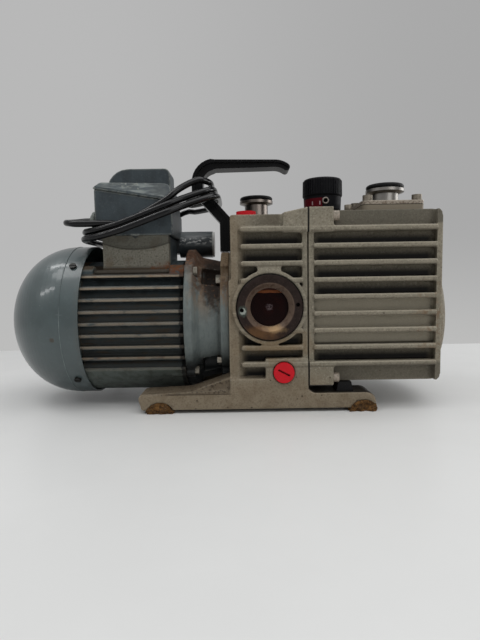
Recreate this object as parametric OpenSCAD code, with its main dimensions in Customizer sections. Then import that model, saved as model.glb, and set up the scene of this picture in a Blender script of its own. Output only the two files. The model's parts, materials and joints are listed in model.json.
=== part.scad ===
// Two-stage rotary vane vacuum pump with its flange-mounted motor.
// Millimetres. +X runs from the fan cover to the oil case, -Y is the sight-glass side, +Z is up.
// The origin lies on the table under the middle of the pump; the shaft runs along X.

/* [Layout] */
// Height of the shaft axis above the table
shaft_h = 90; // [88:0.5:96]
// X of the face where the motor flange meets the pump housing
mount_x = 5; // [2:0.5:8]
// Half of the width of the finned castings
half_w = 85; // [82:0.5:92]

/* [Castings] */
// Length of the pump housing
housing_len = 78.4; // [76:0.2:84]
// Height of the housing's top face above the table
housing_top = 196; // [194:0.5:202]
// Length of the oil case
case_len = 131.6; // [126:0.2:145]
// Height of the oil case's top face above the table
case_top = 200; // [196:0.5:206]
// Thickness of the gasket in the joint
gasket_t = 1; // [0.6:0.1:2]
// Wall thickness of the castings at the sides
side_wall = 7; // [5:0.5:9]
// Thickness of the housing's left wall, which carries the pump stack
left_wall = 12; // [10:0.5:16]
// Thickness of the oil case's floor
case_floor = 9.3; // [7:0.1:11]
// Thickness of the top walls
top_wall = 10; // [7:0.5:12]
// Thickness of a cooling fin
fin_t = 5; // [3:0.5:7]
// Depth of the cooling fins
fin_depth = 12; // [8:0.5:14]
// Distance from one fin to the next
fin_pitch = 16.67; // [14:0.01:17]
// Number of fins on each casting
fin_count = 9; // [5:1:9]
// Height of the top of the highest fin
fin_top = 183.8; // [182:0.2:186]
// Length of the corner pads that take the case bolts
pad_len = 24; // [18:0.5:26]
// Radius of the domed boss on the oil case's end
end_boss_r = 77; // [60:1:80]
// Height of that dome
end_boss_h = 20; // [10:0.5:24]

/* [Base and feet] */
// Height of the underside of the base rails
rail_bottom = 3.5; // [3:0.5:6]
// Height of a base rail
rail_h = 15.5; // [12:0.5:17]
// Width of a base rail
rail_w = 33; // [26:0.5:38]
// X of the rails' left end
rail_left = -87; // [-100:1:-75]
// X of the rails' right end
rail_right = 151; // [145:1:160]
// Length of a rubber foot
foot_len = 27; // [20:0.5:32]
// How far a foot reaches up into its rail
foot_grip = 7.5; // [5:0.5:9]
// Length of a rubber buffer under the oil case
buffer_len = 17; // [12:0.5:24]

/* [Pump stack] */
// Half of the stack's width
stack_half_y = 54; // [52:0.5:58]
// Half of the stack's height
stack_half_z = 50; // [48:0.5:52]
// Clearance between the stack and the casting's floor
sump_gap = 2; // [1:0.25:4]
// Length of the front bearing plate
front_plate_t = 12; // [10:0.5:16]
// Length of the high-vacuum stator
hv_len = 55; // [50:0.5:60]
// Length of the intermediate plate
mid_plate_t = 10; // [9:0.5:14]
// Length of the fore-vacuum stator
fv_len = 30; // [26:0.5:34]
// Length of the rear bearing plate
rear_plate_t = 14; // [10:0.5:18]
// Radius of both rotors
rotor_r = 28; // [24:0.25:29]
// Offset of the rotor from the middle of the stator bore
eccentricity = 4; // [3:0.25:4.5]
// Gap between rotor and stator on the sealing line
seal_gap = 0.05; // [0.03:0.01:0.1]
// Gap at each end of a rotor
end_gap = 0.1; // [0.05:0.01:0.2]
// Radius of the outer shaft journals
journal_r = 11; // [9:0.25:13]
// Radius of the journal in the intermediate plate
mid_journal_r = 13; // [11:0.25:15]
// Wall of a bearing bush
bush_wall = 5; // [3:0.25:6]
// Radial running clearance of a shaft
run_gap = 0.03; // [0.02:0.01:0.08]
// Thickness of a vane
vane_t = 5; // [4:0.25:6]
// Height of a vane
vane_h = 20; // [16:0.5:21]
// Clearance of a vane on each side of its slot
vane_gap = 0.05; // [0.03:0.01:0.1]
// Radius of the stack bolts
stack_bolt_r = 3; // [2.5:0.25:3.5]

/* [Ports and plugs] */
// X of the intake port
intake_x = 38; // [34:0.5:44]
// Y of the intake port
intake_y = 38; // [34:0.5:40]
// X of the exhaust port
exhaust_x = 174; // [168:0.5:178]
// Y of the exhaust port
exhaust_y = -30; // [-34:0.5:-24]
// Clear radius of both small-flange ports
port_bore_r = 12; // [10:0.25:12.5]
// Radius of the small-flange rim
rim_r = 20; // [18:0.25:22]
// Height of the intake rim's top
intake_rim_top = 227.4; // [224:0.2:236]
// Height of the exhaust rim's top
exhaust_rim_top = 226.4; // [224:0.2:236]
// Side of the exhaust plate
plate_w = 64; // [58:0.5:70]
// Thickness of the exhaust plate
plate_t = 10.7; // [8:0.1:13]
// Radius of the two red plugs
plug_r = 10.25; // [9.5:0.25:12]
// Radius of the plugs' shanks
plug_shank_r = 8; // [6:0.25:9]
// X of the drain plug
drain_x = 58.9; // [56:0.1:62]
// Height of the drain plug above the floor of the castings
drain_rise = 2; // [0:0.2:4]
// X of the fill plug
fill_x = 24; // [22:0.5:30]
// Y of the fill plug
fill_y = -48; // [-52:0.5:-42]
// X of the sight glass
sight_x = 45.4; // [43:0.2:47]
// Height of the sight glass
sight_z = 105; // [102:0.5:108]
// Outer radius of the sight-glass ring
sight_ring_r = 32.8; // [30:0.2:33.5]
// Radius of the sight glass's clear opening
sight_open_r = 19; // [16:0.25:21]

/* [Gas ballast] */
// X of the gas-ballast valve
ballast_x = 112; // [110:0.5:114]
// Radius of the gas-ballast knob
knob_r = 22.3; // [20:0.1:24]
// Height of the knob
knob_h = 35; // [30:0.5:40]
// Number of grips round the knob
knob_ribs = 48; // [24:2:60]

/* [Motor] */
// Outer radius of the motor flange
flange_r = 74.5; // [72:0.5:76]
// Thickness of the motor flange
flange_t = 9; // [7:0.5:12]
// Length of the drive-end shield without its flange
bell_len = 37; // [35:0.5:42]
// Length of the motor frame
frame_len = 109; // [104:0.5:116]
// Radius of the frame's core
core_r = 66; // [64:0.5:69]
// Radius round the tips of the frame's fins
frame_r = 78; // [76:0.5:79]
// Bore radius of the motor frame
frame_bore = 58; // [56:0.5:60]
// Number of cooling fins on each side of the frame
frame_fins = 9; // [7:1:9]
// Distance from one frame fin to the next
frame_fin_pitch = 12.1; // [11:0.1:12.4]
// Radius of the motor shaft
shaft_r = 10; // [8:0.25:11]
// Outer radius of the motor bearings
bearing_r = 21; // [19:0.25:22]
// Width of the motor bearings
bearing_w = 14; // [12:0.5:15]
// Air gap between rotor and stator
air_gap = 0.5; // [0.3:0.05:0.8]
// Clearance between the fan cover and the bosses under it
cover_slip = 0.3; // [0.2:0.1:1]
// Sheet thickness of the fan cover
cover_t = 1.5; // [1:0.1:2]
// Length of the cover's straight band
band_len = 18.5; // [16:0.5:22]
// Length of the cover's dome
dome_len = 72.5; // [64:0.5:80]
// Number of fan blades
fan_blades = 8; // [5:1:11]

/* [Terminal box and handle] */
// Height of the pedestal's top above the table
pedestal_top = 181; // [178:0.5:186]
// Length of the terminal box
box_len = 81.5; // [76:0.5:86]
// Y of the terminal box's front face
box_front = -45; // [-48:0.5:-43]
// Height of the lid's top above the table
lid_top = 237; // [234:0.5:240]
// Height of the capacitor box's top above the table
rear_box_top = 266; // [258:0.5:270]
// Depth of the capacitor box
rear_box_d = 36; // [33:0.5:38]
// Radius of the capacitor
capacitor_r = 16; // [14:0.5:17]
// Width of the handle
handle_w = 21; // [16:0.5:28]
// Thickness of the handle's grip
handle_t = 8; // [7:0.5:10]
// Thickness of the handle's leg and bend
handle_stem_t = 12.5; // [10:0.5:15]
// Height of the handle's top above the table
handle_top = 265.5; // [262:0.5:274]
// X of the handle's tip
handle_tip = 74.4; // [65:0.2:85]

/* [Mains cord] */
// Diameter of the cord
cord_d = 6.8; // [6:0.1:7.2]
// Number of turns round the terminal box and the handle
cord_turns = 3; // [2:1:3]
// Step between turns
cord_step = 7.8; // [7.6:0.1:9]

/* [Hidden] */
$fn = 64;

// Clearances between fixed pieces
slip = 0.1;
seat = 0.05;
cut = 1;

// Colours
cast_grey = [0.47, 0.45, 0.40];
paint_blue = [0.36, 0.42, 0.43];
dark_blue = [0.25, 0.30, 0.32];
steel = [0.70, 0.70, 0.68];
iron = [0.42, 0.42, 0.42];
black = [0.06, 0.06, 0.06];
red = [0.80, 0.08, 0.10];

// Places along X
joint_x = mount_x + housing_len;
case_x = joint_x + gasket_t;
case_end = case_x + case_len;
stack_x = mount_x + left_wall;
hv_x = stack_x + front_plate_t;
mid_x = hv_x + hv_len;
fv_x = mid_x + mid_plate_t;
rear_x = fv_x + fv_len;
stack_end = rear_x + rear_plate_t;
flange_x = mount_x - flange_t;
bell_x = flange_x - bell_len;
frame_x = bell_x - frame_len;

// Castings
wall_y = half_w - fin_depth;
cavity_y = wall_y - side_wall;
border_y = half_w - 4;
border_w = 5.4;
column_w = 9.4;
cove_w = 7.6;
fin_start = 2.8;
relief = 2.5;
relief_z = shaft_h + 42;
floor_z = shaft_h - stack_half_z - sump_gap;
case_bottom = floor_z - case_floor;
rail_top = rail_bottom + rail_h;
pad_drop_share = 0.21;
housing_bottom = case_bottom - (case_bottom - rail_top) * pad_drop_share;
drain_z = floor_z + drain_rise;
corner_r = 6;
pad_z0 = 178;
pad_top = case_top + 2;
pad_d = 22;
pad_low_top = case_bottom + 21.3;
fins_z = [for (i = [0:fin_count - 1]) fin_top - fin_t / 2 - i * fin_pitch];
case_bolt_r = 3;
case_bolt_y = half_w - 6;
case_bolt_z = [case_bottom + 4.9, pad_top - 8.3];
case_bolt_reach = 12;
head_h = 6;

// Base
rail_rise = (housing_bottom - rail_top) * 0.39;
rail_nose = 5;
rail_fall = 0.8;
rail_y = half_w - rail_w;
base_top = floor_z - 4;
arch_z = rail_top + 2;
gusset_len = 48;
gusset_in = 3;
gusset_top = shaft_h - sqrt(max(0, pow(flange_r, 2) - pow(rail_y, 2))) - 1;
nose_r = 10;
foot_x = [rail_left + 21.3, rail_right - 12];
foot_w = rail_w - 3;
foot_proud = 1.5;
foot_top = rail_bottom + foot_grip;
buffer_x = 112;
buffer_w = 20;

// Stack
bore_r = rotor_r + eccentricity + seal_gap;
bore_drop = eccentricity;
stack_top = shaft_h + stack_half_z;
stack_bottom = shaft_h - stack_half_z;
stack_corner = 9;
stack_bolt_y = stack_half_y - 5;
stack_bolt_z = stack_half_z - 5;
stack_bolt_grip = 8;
seal_wall = 11;
seal_r = journal_r + seal_wall;
seal_w = 8;
duct_r = 14;
duct_bore = 7.5;
valve_x = [hv_x + 31, fv_x + 7];
valve_y = -24;
valve_hole_r = 4;
leaf = [30, 16, 0.8];
leaf_turn = [0, 90];
stop_t = 3;

// Rotors and vanes
slot_depth = vane_h + 2;
slot_w = vane_t + 2 * vane_gap;
vane_tip = rotor_r - 0.1;
tang_w = 6;
tang_len = 4;
rear_journal_len = rear_plate_t - 2.2;
pump_shaft_x = mount_x - 12;

// Coupling in the drive-end shield
bell_bore = 44;
hub_r = 26;
hub_gap = 0.5;
jaw_len = 8;
jaw_gap = 0.3;
jaws = 3;
jaw_angle = 38;
leg_angle = 18;
coupling_reach = 19.5;
disc_t = 8;
motor_hub_x = flange_x - coupling_reach;
jaw_x = motor_hub_x + disc_t;
pump_disc_x = jaw_x + jaw_len;
pump_hub_end = mount_x - hub_gap;

// Motor
web_x = bell_x + 5;
web_t = 12;
fan_shield_t = 8;
fan_shield_x = frame_x - fan_shield_t;
tie_r = 2.5;
tie_radius = frame_r - 4;
lug_r = 7;
lug_len = 15;
lug_t = 9;
nut_r = 4.6;
nut_t = 4;
core_x = frame_x + 20;
core_len = frame_len - 44;
stator_bore = 33;
winding_r = [36, 54];
rotor_core_r = stator_bore - air_gap;
fan_reach = 42;
shaft_left = frame_x - fan_reach - 13;
shaft_right = jaw_x - 0.5;
fan_x = frame_x - fan_reach;
fan_w = 22;
fan_r = 58;
rim_x = frame_x + 5;
seam_x = rim_x - band_len;
dome_x = seam_x - dome_len;
dome_full = 0.94;
cover_in = tie_radius + lug_r + cover_slip;
cover_r = cover_in + cover_t;
cover_screw_x = frame_x - fan_shield_t / 2 - 1;
cover_screw_r = 1.5;
cover_head_r = 3.6;
cover_head_h = 2.2;
cover_screw_len = cover_in - tie_radius - tie_r - 0.5;
pedestal_x = frame_x + 22;
pedestal_len = 70;
pedestal_front = box_front + 1;
pedestal_back = 24;
pedestal_mid = pedestal_x + pedestal_len / 2;
collar_t = 1.5;
collar_r = 97;
collar_z = pedestal_top - 12.5;
cable_hole_y = -8;
cable_hole_r = 14;
flange_bolt_r = 3;
flange_bolt_radius = 60;

// Terminal boxes
box_x = pedestal_x - 7;
box_wall = 3;
seam_left = 229.6;
seam_right = 216;
lid_lip = 1.5;
lid_skirt = 3;
lid_slope = 1.2;
lid_depth = 17;
drip_h = 7.5;
drip_r = [4.5, 7];
rear_box_x = box_x - 5;
rear_box_len = 75.5;
rear_box_step = 8.5;
rear_step_z = 212;
rear_box_y = pedestal_back;
rear_box_bottom = shaft_h + frame_r - 2;
capacitor_x = rear_box_x + rear_box_len + rear_box_step;
capacitor_len = 42;
capacitor_y = rear_box_y + rear_box_d / 2;
capacitor_z = rear_box_bottom + 11;
gland_y = -23.5;
gland_z = 199;
gland_len = 10;

// Ports
stem_r = port_bore_r + 2;
strainer_z = housing_top + 7;
strainer_step = 0.6;
o_ring_r = 17.2;
o_ring_d = 5;
rim_t = 3;
rim_cone = 2;
plate_screw = 25.25;
plate_screw_r = 3;
demister_r = 20;
demister_len = 40;
ballast_r = 9;
neck_r = 8;
knob_z = case_top + 9;
knob_gap = 0.3;
neck_top = knob_z + knob_h - 7;
sight_boss_r = 37;
sight_web = 23;
sight_face = half_w + 1;
sight_ring_t = 8;
glass_r = 26;
glass_t = 5.5;
sight_gasket_t = 1.5;
pin_r = sight_ring_r - 5.2;
pin_turn = 5;
plug_gap = 0.9;
drain_boss = [18, 13.8];

// Shapes that several pieces share
function arc(cx, cy, r, a0, a1, n = 6) =
    [for (i = [0:n]) let (a = a0 + (a1 - a0) * i / n) [cx + r * cos(a), cy + r * sin(a)]];
function unit(v) = v / norm(v);

module round_box(x0, y0, x1, y1, r) {
    polygon(concat(arc(x1 - r, y0 + r, r, -90, 0), arc(x1 - r, y1 - r, r, 0, 90),
        arc(x0 + r, y1 - r, r, 90, 180), arc(x0 + r, y0 + r, r, 180, 270)));
}

// Extrudes a Y-Z outline along X
module along_x(x, len) {
    translate([x, 0, 0]) rotate([90, 0, 90]) linear_extrude(len) children();
}

// Extrudes an X-Z outline along Y
module along_y(y0, y1) {
    translate([0, y1, 0]) rotate([90, 0, 0]) linear_extrude(y1 - y0) children();
}

// Turns an outline of [radius, x] points round the shaft axis
module round_shaft() {
    translate([0, 0, shaft_h]) rotate([0, 90, 0]) rotate_extrude() children();
}

module rod_x(x, len, r, y = 0, z = shaft_h) {
    translate([x, y, z]) rotate([0, 90, 0]) cylinder(h = len, r = r);
}

module rod_y(y0, y1, r, x, z) {
    translate([x, y1, z]) rotate([90, 0, 0]) cylinder(h = y1 - y0, r = r);
}

module hex_x(x, len, r, y, z) {
    translate([x, y, z]) rotate([0, 90, 0]) cylinder(h = len, r = r, $fn = 6);
}

module box_at(x0, y0, z0, x1, y1, z1) {
    translate([x0, y0, z0]) cube([x1 - x0, y1 - y0, z1 - z0]);
}

// Copies its children to the four diagonals of the shaft axis, with the given radius
module diagonals(radius) {
    for (a = [45:90:315])
        translate([0, radius * cos(a), shaft_h + radius * sin(a)]) children();
}

// Copies its children to the front and the back
module both_sides() {
    children();
    mirror([0, 1, 0]) children();
}

// Horizontal cooling fins with round ends
module case_fins(x0, x1) {
    along_y(-half_w, half_w)
        for (z = fins_z)
            round_box(x0, z - fin_t / 2, x1, z + fin_t / 2, fin_t / 2 - 0.01);
}

// Outline of the pump stack
module stack_outline() {
    round_box(-stack_half_y, stack_bottom, stack_half_y, stack_top, stack_corner);
}

module stack_bolt_spots() {
    for (y = [-1, 1], z = [-1, 1])
        translate([0, y * stack_bolt_y, shaft_h + z * stack_bolt_z]) children();
}

module stack_plate(x, len) {
    difference() {
        along_x(x, len) stack_outline();
        stack_bolt_spots() rod_x(x - cut, len + 2 * cut, stack_bolt_r + slip, z = 0);
    }
}

module case_bolt_spots() {
    for (y = [-1, 1], z = case_bolt_z)
        translate([0, y * case_bolt_y, z]) children();
}

// Castings
module housing_outline() {
    polygon(concat([[joint_x, housing_bottom], [joint_x, housing_top]],
        arc(mount_x + corner_r, housing_top - corner_r, corner_r, 90, 180), [[mount_x, housing_bottom]]));
}

module housing_pads() {
    both_sides() {
        along_y(half_w - pad_d, half_w)
            polygon([[joint_x - pad_len, pad_z0], [joint_x, pad_z0], [joint_x, pad_top],
                [joint_x - pad_len, housing_top + 1]]);
        box_at(joint_x - pad_len, half_w - pad_d, housing_bottom, joint_x, half_w, pad_low_top + 4);
    }
}

module base_rails() {
    both_sides() {
        along_y(rail_y, half_w)
            polygon(concat([[rail_left + 3, rail_bottom], [rail_right, rail_bottom]],
                arc(rail_right - nose_r, rail_top - nose_r, nose_r, 0, 90),
                [[joint_x + 6, rail_top], [joint_x, rail_top + rail_rise],
                    [mount_x, rail_top + 1.45 * rail_rise]],
                arc(rail_left + rail_nose, rail_top + rail_fall - rail_nose, rail_nose, 90, 180)));
        along_y(rail_y, half_w - gusset_in)
            polygon([[mount_x - gusset_len, rail_bottom + 4], [mount_x + cut, rail_bottom + 4],
                [mount_x + cut, gusset_top], [mount_x - gusset_len, rail_top]]);
    }
    along_y(-half_w, half_w)
        polygon([[mount_x, rail_bottom], [joint_x, rail_bottom], [joint_x, base_top], [mount_x, base_top]]);
}

module foot_spots() {
    both_sides()
        for (x = foot_x)
            translate([x, 0, 0]) children();
}

// The left column meets the floor of the grooves with a slope
module column_coves() {
    x = mount_x + column_w;
    both_sides()
        translate([0, 0, housing_bottom]) linear_extrude(fins_z[0] - housing_bottom)
            polygon([[x - 1, border_y], [x, border_y], [x + cove_w, wall_y], [x + cove_w, wall_y - 1],
                [x - 1, wall_y - 1]]);
}

// The left wall stands back above the round face that carries the motor flange
module left_relief() {
    difference() {
        box_at(mount_x - cut, -half_w - cut, relief_z, mount_x + relief, half_w + cut, housing_top + cut);
        rod_x(mount_x - 2 * cut, relief + 4 * cut, flange_r);
    }
}

module pump_housing() {
    color(cast_grey) difference() {
        union() {
            along_y(-wall_y, wall_y) housing_outline();
            intersection() {
                along_y(-border_y, border_y) housing_outline();
                union() {
                    box_at(mount_x, -half_w, 0, mount_x + column_w, half_w, housing_top);
                    box_at(joint_x - border_w, -half_w, 0, joint_x, half_w, housing_top);
                    box_at(mount_x, -half_w, fins_z[0], joint_x, half_w, housing_top);
                }
            }
            column_coves();
            case_fins(mount_x + column_w + fin_start, joint_x - border_w + 1);
            housing_pads();
            rod_y(-sight_face, -cavity_y + cut, sight_boss_r, sight_x, sight_z);
            box_at(sight_x - sight_web / 2, -half_w, sight_z,
                sight_x + sight_web / 2, -cavity_y, fins_z[2]);
            box_at(drain_x - drain_boss[0], -half_w, housing_bottom,
                joint_x, -cavity_y, drain_z + drain_boss[1]);
            base_rails();
        }
        difference() {
            box_at(stack_x, -cavity_y, floor_z, joint_x + cut, cavity_y, housing_top - top_wall);
            translate([intake_x, intake_y, stack_top]) cylinder(h = housing_top - stack_top, r = duct_r);
        }
        box_at(mount_x - gusset_len - cut, -rail_y, 0, joint_x + cut, rail_y, arch_z);
        translate([intake_x, intake_y, stack_top - cut])
            cylinder(h = housing_top - stack_top + 2 * cut, r = duct_bore);
        translate([intake_x, intake_y, housing_top - 8]) cylinder(h = 8 + cut, r = stem_r + slip);
        rod_x(mount_x - cut, left_wall + 2 * cut, seal_r + seat);
        diagonals(flange_bolt_radius) rod_x(mount_x - cut, left_wall - 1, flange_bolt_r + slip, z = 0);
        stack_bolt_spots()
            rod_x(stack_x - stack_bolt_grip - 1, stack_bolt_grip + 1 + cut, stack_bolt_r + slip, z = 0);
        case_bolt_spots()
            rod_x(joint_x - case_bolt_reach - 1, case_bolt_reach + 1 + cut, case_bolt_r + slip, z = 0);
        rod_y(-sight_face - cut, -sight_face + sight_ring_t, sight_ring_r + 0.4, sight_x, sight_z);
        rod_y(-sight_face - cut, -sight_face + sight_ring_t + glass_t + sight_gasket_t,
            glass_r + slip, sight_x, sight_z);
        rod_y(-sight_face - cut, -cavity_y + 2 * cut, sight_open_r + 1, sight_x, sight_z);
        rod_y(-half_w - cut, -half_w + 3, plug_r + plug_gap, drain_x, drain_z);
        rod_y(-half_w - cut, -cavity_y + 2 * cut, plug_shank_r + slip, drain_x, drain_z);
        translate([fill_x, fill_y, housing_top - top_wall - cut])
            cylinder(h = top_wall + 2 * cut, r = plug_shank_r + slip);
        for (z = handle_screw_z)
            rod_x(handle_x - cut, handle_screw_reach + 1 + cut, handle_screw_r + slip, z = z);
        left_relief();
        foot_spots() foot_block(slip);
    }
}

module oil_case_outline() {
    r = corner_r + 1;
    polygon(concat([[case_x, case_bottom]], arc(case_end - r, case_bottom + r, r, -90, 0),
        arc(case_end - r, case_top - r, r, 0, 90), [[case_x, case_top]]));
}

module oil_case() {
    color(cast_grey) difference() {
        union() {
            along_y(-wall_y, wall_y) oil_case_outline();
            intersection() {
                along_y(-border_y, border_y) oil_case_outline();
                union() {
                    box_at(case_x, -half_w, 0, case_x + border_w, half_w, case_top);
                    box_at(case_end - border_w, -half_w, 0, case_end, half_w, case_top);
                }
            }
            case_fins(case_x + border_w - 1, case_end - border_w);
            both_sides() {
                box_at(case_x, half_w - pad_d, pad_z0, case_x + pad_len, half_w, pad_top);
                box_at(case_x, half_w - pad_d, housing_bottom, case_x + pad_len, half_w, pad_low_top);
            }
            intersection() {
                round_shaft()
                    polygon(concat([[0, case_end - 2]], [for (a = [0:7.5:90])
                        [end_boss_r * (a < 90 ? cos(a) : 0), case_end + end_boss_h * sin(a)]]));
                box_at(case_x, -half_w, case_bottom + corner_r,
                    case_end + end_boss_h + cut, half_w, case_top);
            }
        }
        box_at(case_x - cut, -cavity_y, floor_z, case_end - 8, cavity_y, case_top - top_wall);
        translate([exhaust_x, exhaust_y, case_top - top_wall - cut])
            cylinder(h = top_wall + 2 * cut, r = demister_r + slip);
        translate([ballast_x, 0, case_top - top_wall - cut])
            cylinder(h = top_wall + 2 * cut, r = ballast_r + slip);
        plate_screw_spots() translate([0, 0, case_top - 8]) cylinder(h = 8 + cut, r = plate_screw_r + slip);
        case_bolt_spots() rod_x(case_x - cut, pad_len + 2 * cut, case_bolt_r + slip, z = 0);
    }
}

module case_gasket() {
    color(black) difference() {
        union() {
            along_x(joint_x, gasket_t) round_box(-wall_y, case_bottom, wall_y, case_top, 2);
            both_sides() {
                box_at(joint_x, half_w - pad_d, pad_z0, case_x, half_w, pad_top);
                box_at(joint_x, half_w - pad_d, housing_bottom, case_x, half_w, pad_low_top);
            }
        }
        box_at(joint_x - cut, -cavity_y, floor_z, case_x + cut, cavity_y, housing_top - top_wall);
        case_bolt_spots() rod_x(joint_x - cut, gasket_t + 2 * cut, case_bolt_r + slip, z = 0);
    }
}

module case_bolts() {
    color(steel) case_bolt_spots() {
        rod_x(joint_x - case_bolt_reach, case_bolt_reach + gasket_t + pad_len, case_bolt_r, z = 0);
        rod_x(case_x + pad_len, head_h, case_bolt_r * 1.6, z = 0);
    }
}

module case_buffers() {
    color(black) both_sides()
        along_y(half_w - 5 - buffer_w, half_w - 5)
            polygon([[buffer_x, rail_top], [buffer_x + buffer_len, rail_top],
                [buffer_x + buffer_len - 2, case_bottom], [buffer_x + 2, case_bottom]]);
}

module foot_block(gap) {
    along_y(half_w - foot_w - gap, half_w + foot_proud + gap)
        polygon([for (a = [0:15:180]) [(foot_len / 2 + gap) * cos(a), (foot_top + gap) * sin(a)]]);
}

module rubber_feet() {
    color([0.35, 0.24, 0.12]) foot_spots() foot_block(0);
}

// Ports
module plate_screw_spots() {
    for (x = [-1, 1], y = [-1, 1])
        translate([exhaust_x + x * plate_screw, exhaust_y + y * plate_screw, 0]) children();
}

// Small-flange stem with its tapered rim
module port_stem(z0, z1) {
    rotate_extrude()
        polygon([[port_bore_r, z0], [stem_r, z0], [stem_r, z1 - rim_t - rim_cone], [rim_r, z1 - rim_t],
            [rim_r, z1], [port_bore_r, z1]]);
}

module exhaust_flange() {
    color(steel) difference() {
        translate([exhaust_x, exhaust_y, 0]) union() {
            translate([0, 0, case_top]) linear_extrude(plate_t)
                round_box(-plate_w / 2, -plate_w / 2, plate_w / 2, plate_w / 2, 7);
            port_stem(case_top + 1, exhaust_rim_top);
        }
        translate([exhaust_x, exhaust_y, case_top - cut]) cylinder(h = plate_t + 2 * cut, r = port_bore_r);
        plate_screw_spots() translate([0, 0, case_top - cut])
            cylinder(h = plate_t + 2 * cut, r = plate_screw_r + slip);
    }
}

module exhaust_flange_screws() {
    color(steel) plate_screw_spots() difference() {
        union() {
            translate([0, 0, case_top - 7.5]) cylinder(h = 7.5 + plate_t, r = plate_screw_r);
            translate([0, 0, case_top + plate_t]) cylinder(h = head_h, r = 5);
        }
        translate([0, 0, case_top + plate_t + 2]) cylinder(h = head_h, r = 2.9, $fn = 6);
    }
}

module port_o_rings() {
    spots = [[intake_x, intake_y, intake_rim_top], [exhaust_x, exhaust_y, exhaust_rim_top]];
    color(black) for (p = spots)
        translate(p + [0, 0, o_ring_d / 2 + seat]) rotate_extrude()
            translate([o_ring_r, 0]) circle(d = o_ring_d, $fn = 32);
}

module intake_port() {
    color(steel) translate([intake_x, intake_y, 0]) {
        port_stem(strainer_z, intake_rim_top);
        difference() {
            translate([0, 0, housing_top - 8]) cylinder(h = strainer_z - housing_top + 8.01, r = stem_r);
            translate([0, 0, housing_top - 8 - cut])
                cylinder(h = strainer_z - housing_top + 8 + cut, r = port_bore_r + strainer_step);
        }
    }
}

module intake_strainer() {
    wall = 0.8;
    rim = port_bore_r + strainer_step - seat;
    cup = port_bore_r - 2;
    z0 = strainer_z - 12;
    color(steel) translate([intake_x, intake_y, 0]) rotate_extrude()
        polygon([[0, z0], [cup, z0], [cup, strainer_z - wall], [rim, strainer_z - wall], [rim, strainer_z],
            [cup - wall, strainer_z], [cup - wall, z0 + wall], [0, z0 + wall]]);
}

module coin_slot(depth) {
    translate([-plug_r * 0.62, -1, -depth]) cube([plug_r * 1.24, 2, depth + cut]);
}

module oil_fill_plug() {
    head = 7;
    color(red) translate([fill_x, fill_y, housing_top]) difference() {
        union() {
            cylinder(h = head, r = plug_r);
            translate([0, 0, -top_wall]) cylinder(h = top_wall + cut, r = plug_shank_r);
        }
        translate([0, 0, head]) coin_slot(2.5);
    }
}

module oil_drain_plug() {
    head = 5;
    reach = half_w - 3 - cavity_y - 1;
    color(red) translate([drain_x, -half_w + 3, drain_z]) rotate([90, 0, 0]) difference() {
        union() {
            cylinder(h = head, r = plug_r);
            translate([0, 0, -reach]) cylinder(h = reach + cut, r = plug_shank_r);
        }
        translate([0, 0, head]) rotate([0, 0, -28]) coin_slot(2.5);
    }
}

// Sight glass
module sight_glass() {
    y0 = -sight_face + sight_ring_t;
    color([0.30, 0.16, 0.06]) rod_y(y0, y0 + glass_t, glass_r, sight_x, sight_z);
}

module sight_glass_gasket() {
    y0 = -sight_face + sight_ring_t + glass_t;
    color(black) difference() {
        rod_y(y0, y0 + sight_gasket_t, glass_r, sight_x, sight_z);
        rod_y(y0 - cut, y0 + sight_gasket_t + cut, sight_open_r + 1, sight_x, sight_z);
    }
}

module sight_glass_ring() {
    proud = 1.5;
    bevel = 4.5;
    color([0.30, 0.24, 0.20]) difference() {
        translate([sight_x, -sight_face + sight_ring_t, sight_z]) rotate([90, 0, 0]) rotate_extrude()
            polygon([[sight_open_r, 0], [sight_ring_r, 0], [sight_ring_r, sight_ring_t + proud - 1],
                [sight_ring_r - 1, sight_ring_t + proud], [sight_open_r + bevel, sight_ring_t + proud],
                [sight_open_r, sight_ring_t + proud - bevel]]);
        for (s = [-1, 1])
            rod_y(-sight_face - proud - cut, -sight_face + 3, 2,
                sight_x + s * pin_r * cos(pin_turn), sight_z + s * pin_r * sin(pin_turn));
    }
}

// Handle
handle_screw_r = 3;
handle_head_r = 4.8;
handle_sink = 5;
handle_screw_reach = 7;
handle_x = mount_x + relief;
handle_foot_z = [shaft_h + flange_r + 0.5, 199.5];
handle_screw_z = [handle_foot_z[0] + 9, handle_foot_z[0] + 23];
handle_stem_x = -29.4;
handle_knee_z = 233.5;
handle_bend = 20;
tip_r = 22;
tip_turn = 54;
grip_z = handle_top - handle_t / 2;
handle_path = concat(
    [[handle_x - handle_stem_t / 2, handle_foot_z[0]], [handle_x - handle_stem_t / 2, handle_foot_z[1]]],
    [[handle_stem_x, handle_knee_z]],
    arc(handle_stem_x + handle_bend, grip_z - handle_bend, handle_bend, 180, 90, 8),
    arc(handle_tip - handle_t / 2 - tip_r * cos(tip_turn), grip_z - tip_r, tip_r, 90, tip_turn, 6));

// Half of the bar's thickness at a point of the path: it thins past the end of the bend
bend_last = 10;
function bar_half(i) =
    (handle_stem_t + (handle_t - handle_stem_t) * clamp01((i - bend_last) / 2)) / 2;

// One side of a bar along a list of points, at a share of its half thickness
function bar_side(p, share) = [for (i = [0:len(p) - 1])
    let (
        d0 = unit(p[max(i, 1)] - p[max(i, 1) - 1]),
        d1 = unit(p[min(i + 1, len(p) - 1)] - p[min(i, len(p) - 2)]),
        n = unit([-(d0[1] + d1[1]), d0[0] + d1[0]]),
        reach = share * bar_half(i) / (n * [-d0[1], d0[0]])
    ) p[i] + n * reach];
function turned(p) = [for (i = [len(p) - 1:-1:0]) p[i]];

module handle_bar(share) {
    tip = [for (a = [30:30:150]) handle_path[len(handle_path) - 1]
        + share * handle_t / 2 * [cos(tip_turn - a), sin(tip_turn - a)]];
    polygon(concat(bar_side(handle_path, share), tip, turned(bar_side(handle_path, -share))));
}

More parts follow.
